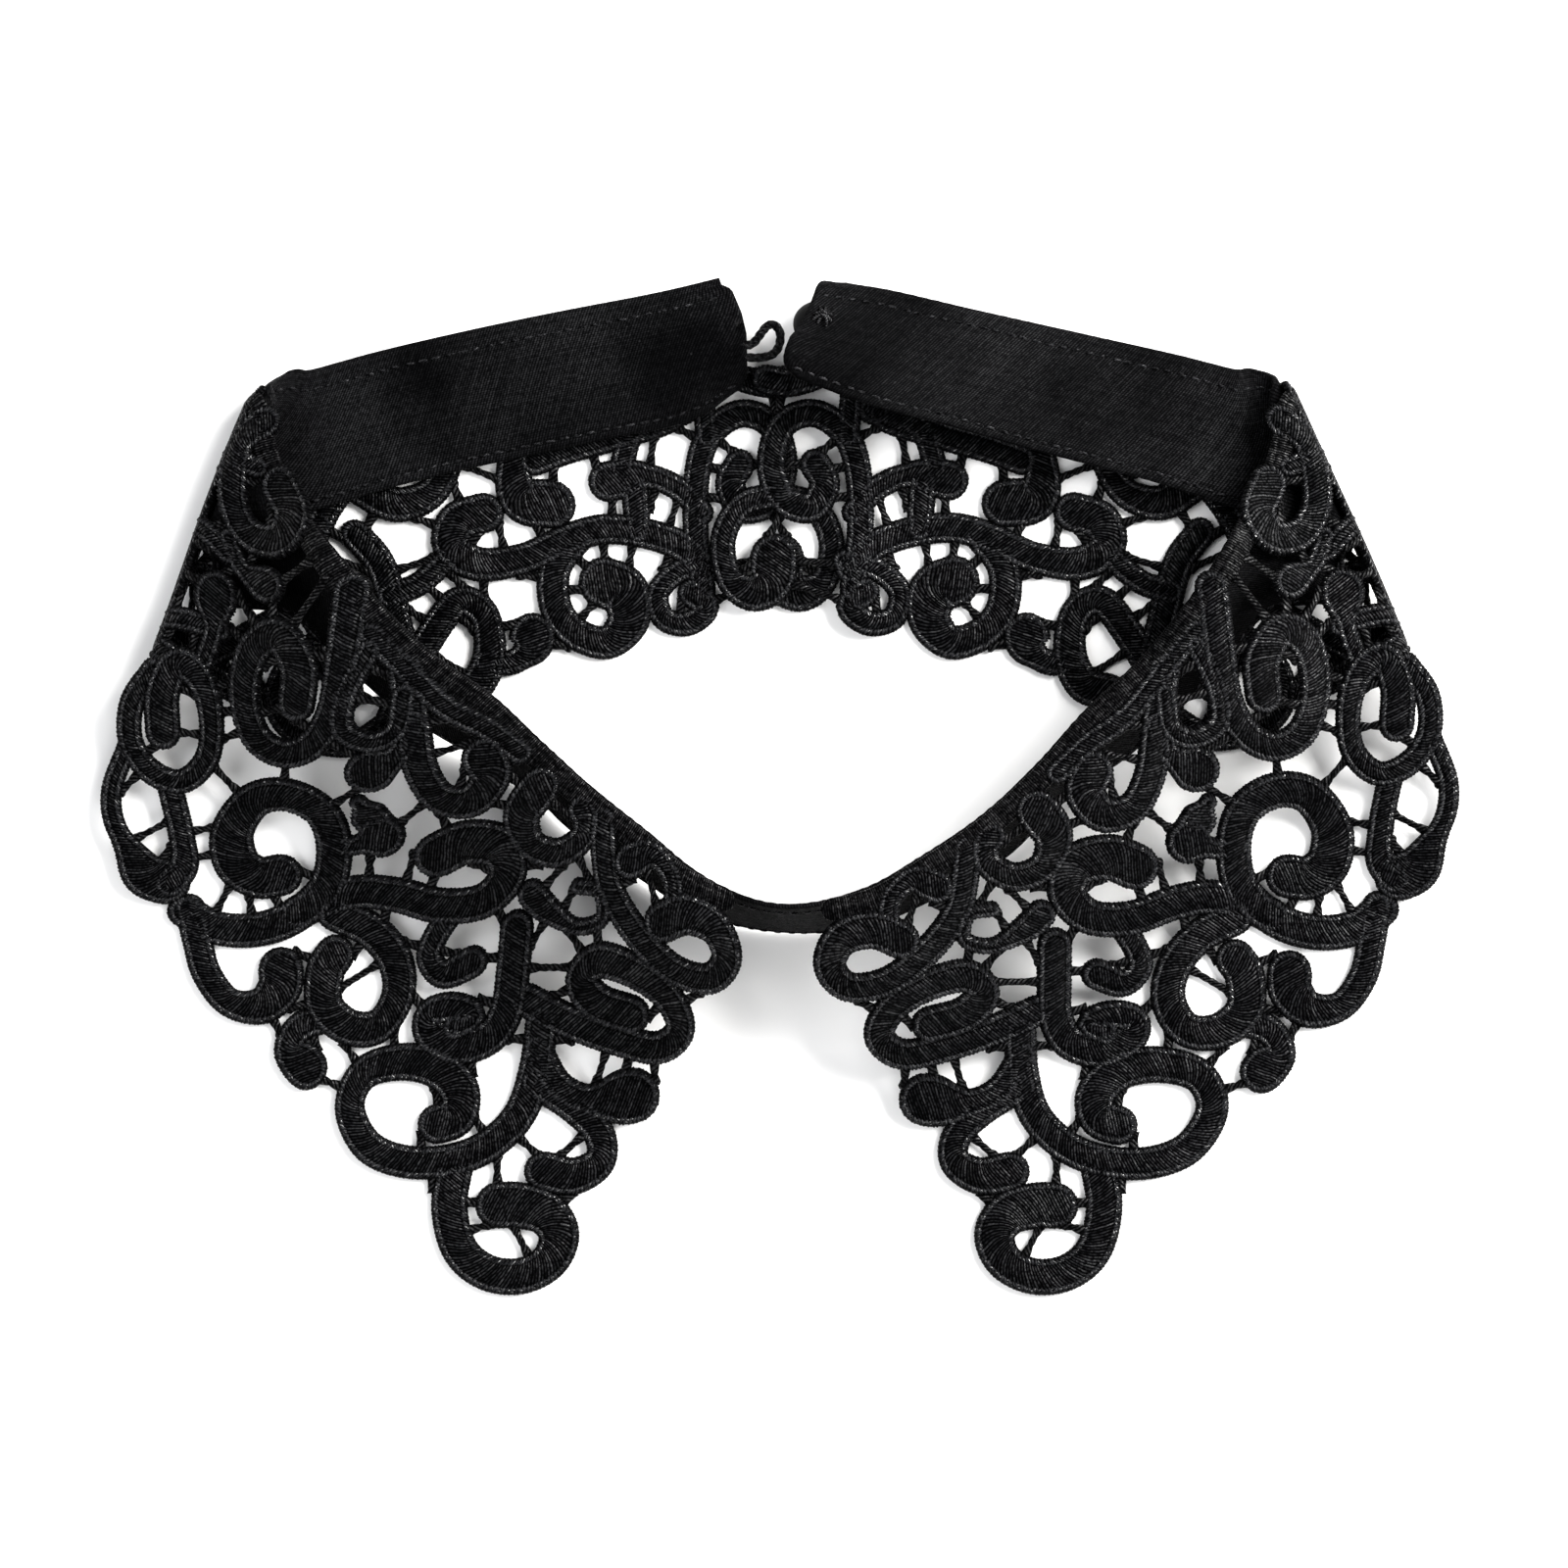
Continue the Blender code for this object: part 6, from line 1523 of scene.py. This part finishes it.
# Profile from the back's middle round the rim to the face's middle: share of the radius, depth (mm)
BUTTON_PROFILE = ((0.0, 0.0), (0.45, 0.0), (0.62, 0.02), (0.80, 0.22), (0.93, 0.52), (0.985, 0.85),
                  (1.0, 1.12), (0.985, 1.40), (0.93, 1.68), (0.86, 1.86), (0.79, 1.92), (0.73, 1.86),
                  (0.69, 1.74), (0.65, 1.74), (0.58, 2.02), (0.45, 2.30), (0.28, 2.50), (0.12, 2.58),
                  (0.0, 2.60))


def band_end_frame():
    """Place on the band's right end under which the button sits, and its axes along, across, out."""
    tops, feet = band_rulings(1)
    across = (feet[0] - tops[0]) / np.linalg.norm(feet[0] - tops[0])
    along = (tops[1] - tops[0]) / np.linalg.norm(tops[1] - tops[0])
    out = np.cross(along, across)
    out /= np.linalg.norm(out)
    along = np.cross(across, out)
    return tops[0] + across * BUTTON_ACROSS + along * BUTTON_ALONG, along, across, out


def turned_part(centre, along, across, down, profile, radius, sides):
    """A profile (share of radius, depth) turned about the axis through centre: one closed part."""
    profile = np.array(profile)
    turn = np.linspace(0, 2 * math.pi, sides, endpoint=False)
    rings = profile[1:-1]
    round_points = (along * np.cos(turn)[None, :, None] + across * np.sin(turn)[None, :, None]) * radius
    points = centre + round_points * rings[:, 0, None, None] + down * rings[:, 1, None, None]
    poles = centre + down * profile[[0, -1], 1][:, None]
    points = np.vstack((points.reshape(-1, 3), poles))
    quads = tube_faces(1, len(rings), sides)[:, TURNED_OVER]
    last = (len(rings) - 1) * sides
    a = np.arange(sides)
    b = (a + 1) % sides
    pole = len(points) - 2
    corners = np.vstack((np.stack((b, a, a * 0 + pole), axis=-1),
                         np.stack((a + last, b + last, a * 0 + pole + 1), axis=-1)))
    return laid(points), np.zeros((len(points), 3)), np.zeros(len(points)), quads, corners


button_centre, band_along, band_across, band_out = band_end_frame()
band_down = -band_out if band_out[2] > 0 else band_out
button_back = button_centre + band_down * (BAND_WALL / 2 + BUTTON_SHANK)
turned = turned_part(button_back, band_along, band_across, band_down, BUTTON_PROFILE, BUTTON_RADIUS,
                     BUTTON_SIDES)
inside_out = np.dot(np.cross(band_along, band_across), band_down) < 0
button = fill_mesh("button_moulded", [turned], inside_out)
button_finish, tree, shader = new_finish("black button")
fibre = place_group(tree, FIBRE, Fine=2600.0, Slow=300.0).outputs
colour = blend_of(tree, fibre["Unevenness"], (0.0015, 0.0015, 0.0017, 1.0), (0.005, 0.005, 0.0055, 1.0))
tree.links.new(colour, shader.inputs["Base Color"])
shader.inputs["Specular IOR Level"].default_value = 0.10
tree.links.new(sum_up(tree, "MULTIPLY_ADD", fibre["Streaks"], 0.22, 0.42), shader.inputs["Roughness"])
bump = wire(tree, "ShaderNodeBump", {"Height": fibre["Unevenness"], "Distance": 0.00003, "Strength": 0.5})
tree.links.new(bump.outputs["Normal"], shader.inputs["Normal"])
button.data.materials.append(button_finish)
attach(button, "root")
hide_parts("button")


# Sewing knot
# The thread that holds the button comes through to the inner face of the band, where a few loops of it are
# pulled tight and knotted.
KNOT_RADIUS = 0.24
KNOT_PITCH = 0.9
# Points of each loop of thread: along the band, across it and off its face (mm)
KNOT_LOOPS = (
    ((-1.1, -1.6, -0.1), (-0.5, -0.8, 0.35), (0.3, 0.1, 0.55), (0.9, 0.9, 0.35), (1.0, 1.7, -0.1)),
    ((1.3, -0.9, -0.1), (0.7, -0.4, 0.4), (-0.1, 0.2, 0.75), (-0.9, 0.7, 0.4), (-1.4, 1.3, -0.1)),
    ((-0.3, -1.9, -0.1), (0.1, -1.0, 0.45), (0.2, 0.0, 0.9), (-0.2, 0.8, 0.5), (-0.5, 1.6, -0.1)),
    ((-1.6, 0.2, -0.1), (-0.8, -0.2, 0.5), (0.0, -0.3, 0.85), (0.8, 0.1, 0.5), (1.6, 0.4, -0.1)),
)


def cord_part(route, radius, sides, pitch, ridge, plies=2):
    """A twisted cord along a route (mm), as one tube.

    Its radius swells by the absolute cosine of half the plies times the turn, which winds with the pitch.
    """
    run = run_along(route)
    count = max(8, int(run[-1] / (radius * 0.55)))
    at = np.linspace(0.0, run[-1], count)
    line = np.column_stack([np.interp(at, run, route[:, c]) for c in range(3)])
    forward = np.gradient(line, axis=0)
    forward /= np.linalg.norm(forward, axis=1)[:, None]
    right = np.cross(forward, (0.0, 0.0, 1.0))
    right /= np.linalg.norm(right, axis=1)[:, None]
    lift = np.cross(right, forward)
    turn = np.linspace(0, 2 * math.pi, sides, endpoint=False)
    wound = turn[None, :] - 2 * math.pi * at[:, None] / pitch
    swell = radius * (1 - ridge + ridge * np.abs(np.cos(plies / 2 * wound)))
    points = (line[:, None, :] + (swell * np.cos(turn))[:, :, None] * right[:, None, :]
              + (swell * np.sin(turn))[:, :, None] * lift[:, None, :])
    quads = tube_faces(1, count, sides)[:, TURNED_OVER][:, ::-1]
    ends = tube_ends(sides)
    corners = np.vstack((ends[:, [0, 2, 1]], ends + (count - 1) * sides))[:, ::-1]
    return (laid(points.reshape(-1, 3)), thread_rows(at[:, None], radius * turn), np.zeros(swell.size),
            quads, corners)


knot_seat = button_centre - band_down * (BAND_WALL / 2)
knot_parts = []
for points in KNOT_LOOPS:
    points = np.array(points)
    route = (knot_seat + points[:, :1] * band_along + points[:, 1:2] * band_across
             - points[:, 2:] * band_down)
    knot_parts.append(cord_part(spline(route, 0.15), KNOT_RADIUS, 8, KNOT_PITCH, 0.15))
knot = fill_mesh("sewing_knot", knot_parts, False)
# The knot thread's lighter colour is the painted highlight on its crowns.
knot.data.materials.append(thread_finish("knot thread", 0.45, 0.6, False, (0.035, 0.035, 0.037), 0.00008))
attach(knot, "root")


# Button loop
# A loop of round two-ply cord is caught in the band's left end and goes over the button.  It stays as it
# was laid, unfastened and a little open.
LOOP_RADIUS = 0.8
LOOP_PITCH = 2.6
# Centre line of the loop, from the left band end round and back: x, y (pixels) and z (mm)
LOOP_POINTS = (
    (757, 352, 3.0), (765, 353, 3.3), (771, 349, 3.7), (777, 341, 4.1), (783, 334, 4.5), (790, 333, 4.8),
    (796, 341, 4.8), (795, 354, 4.5), (788, 363, 4.2), (776, 366, 3.7), (767, 366, 3.4), (760, 365, 3.2),
)
points = np.array(LOOP_POINTS, dtype=float)
route = spline(np.column_stack((to_mm(points[:, :2]), points[:, 2])), 0.3)
loop = fill_mesh("button_loop", [cord_part(route, LOOP_RADIUS, 18, LOOP_PITCH, 0.2)], False)
# The cord's lighter colour is the painted highlight on its crowns.
loop.data.materials.append(thread_finish("loop cord", 0.4, 1.1, False, (0.016, 0.016, 0.017), 0.00012))
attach(loop, "root")
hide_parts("loop")
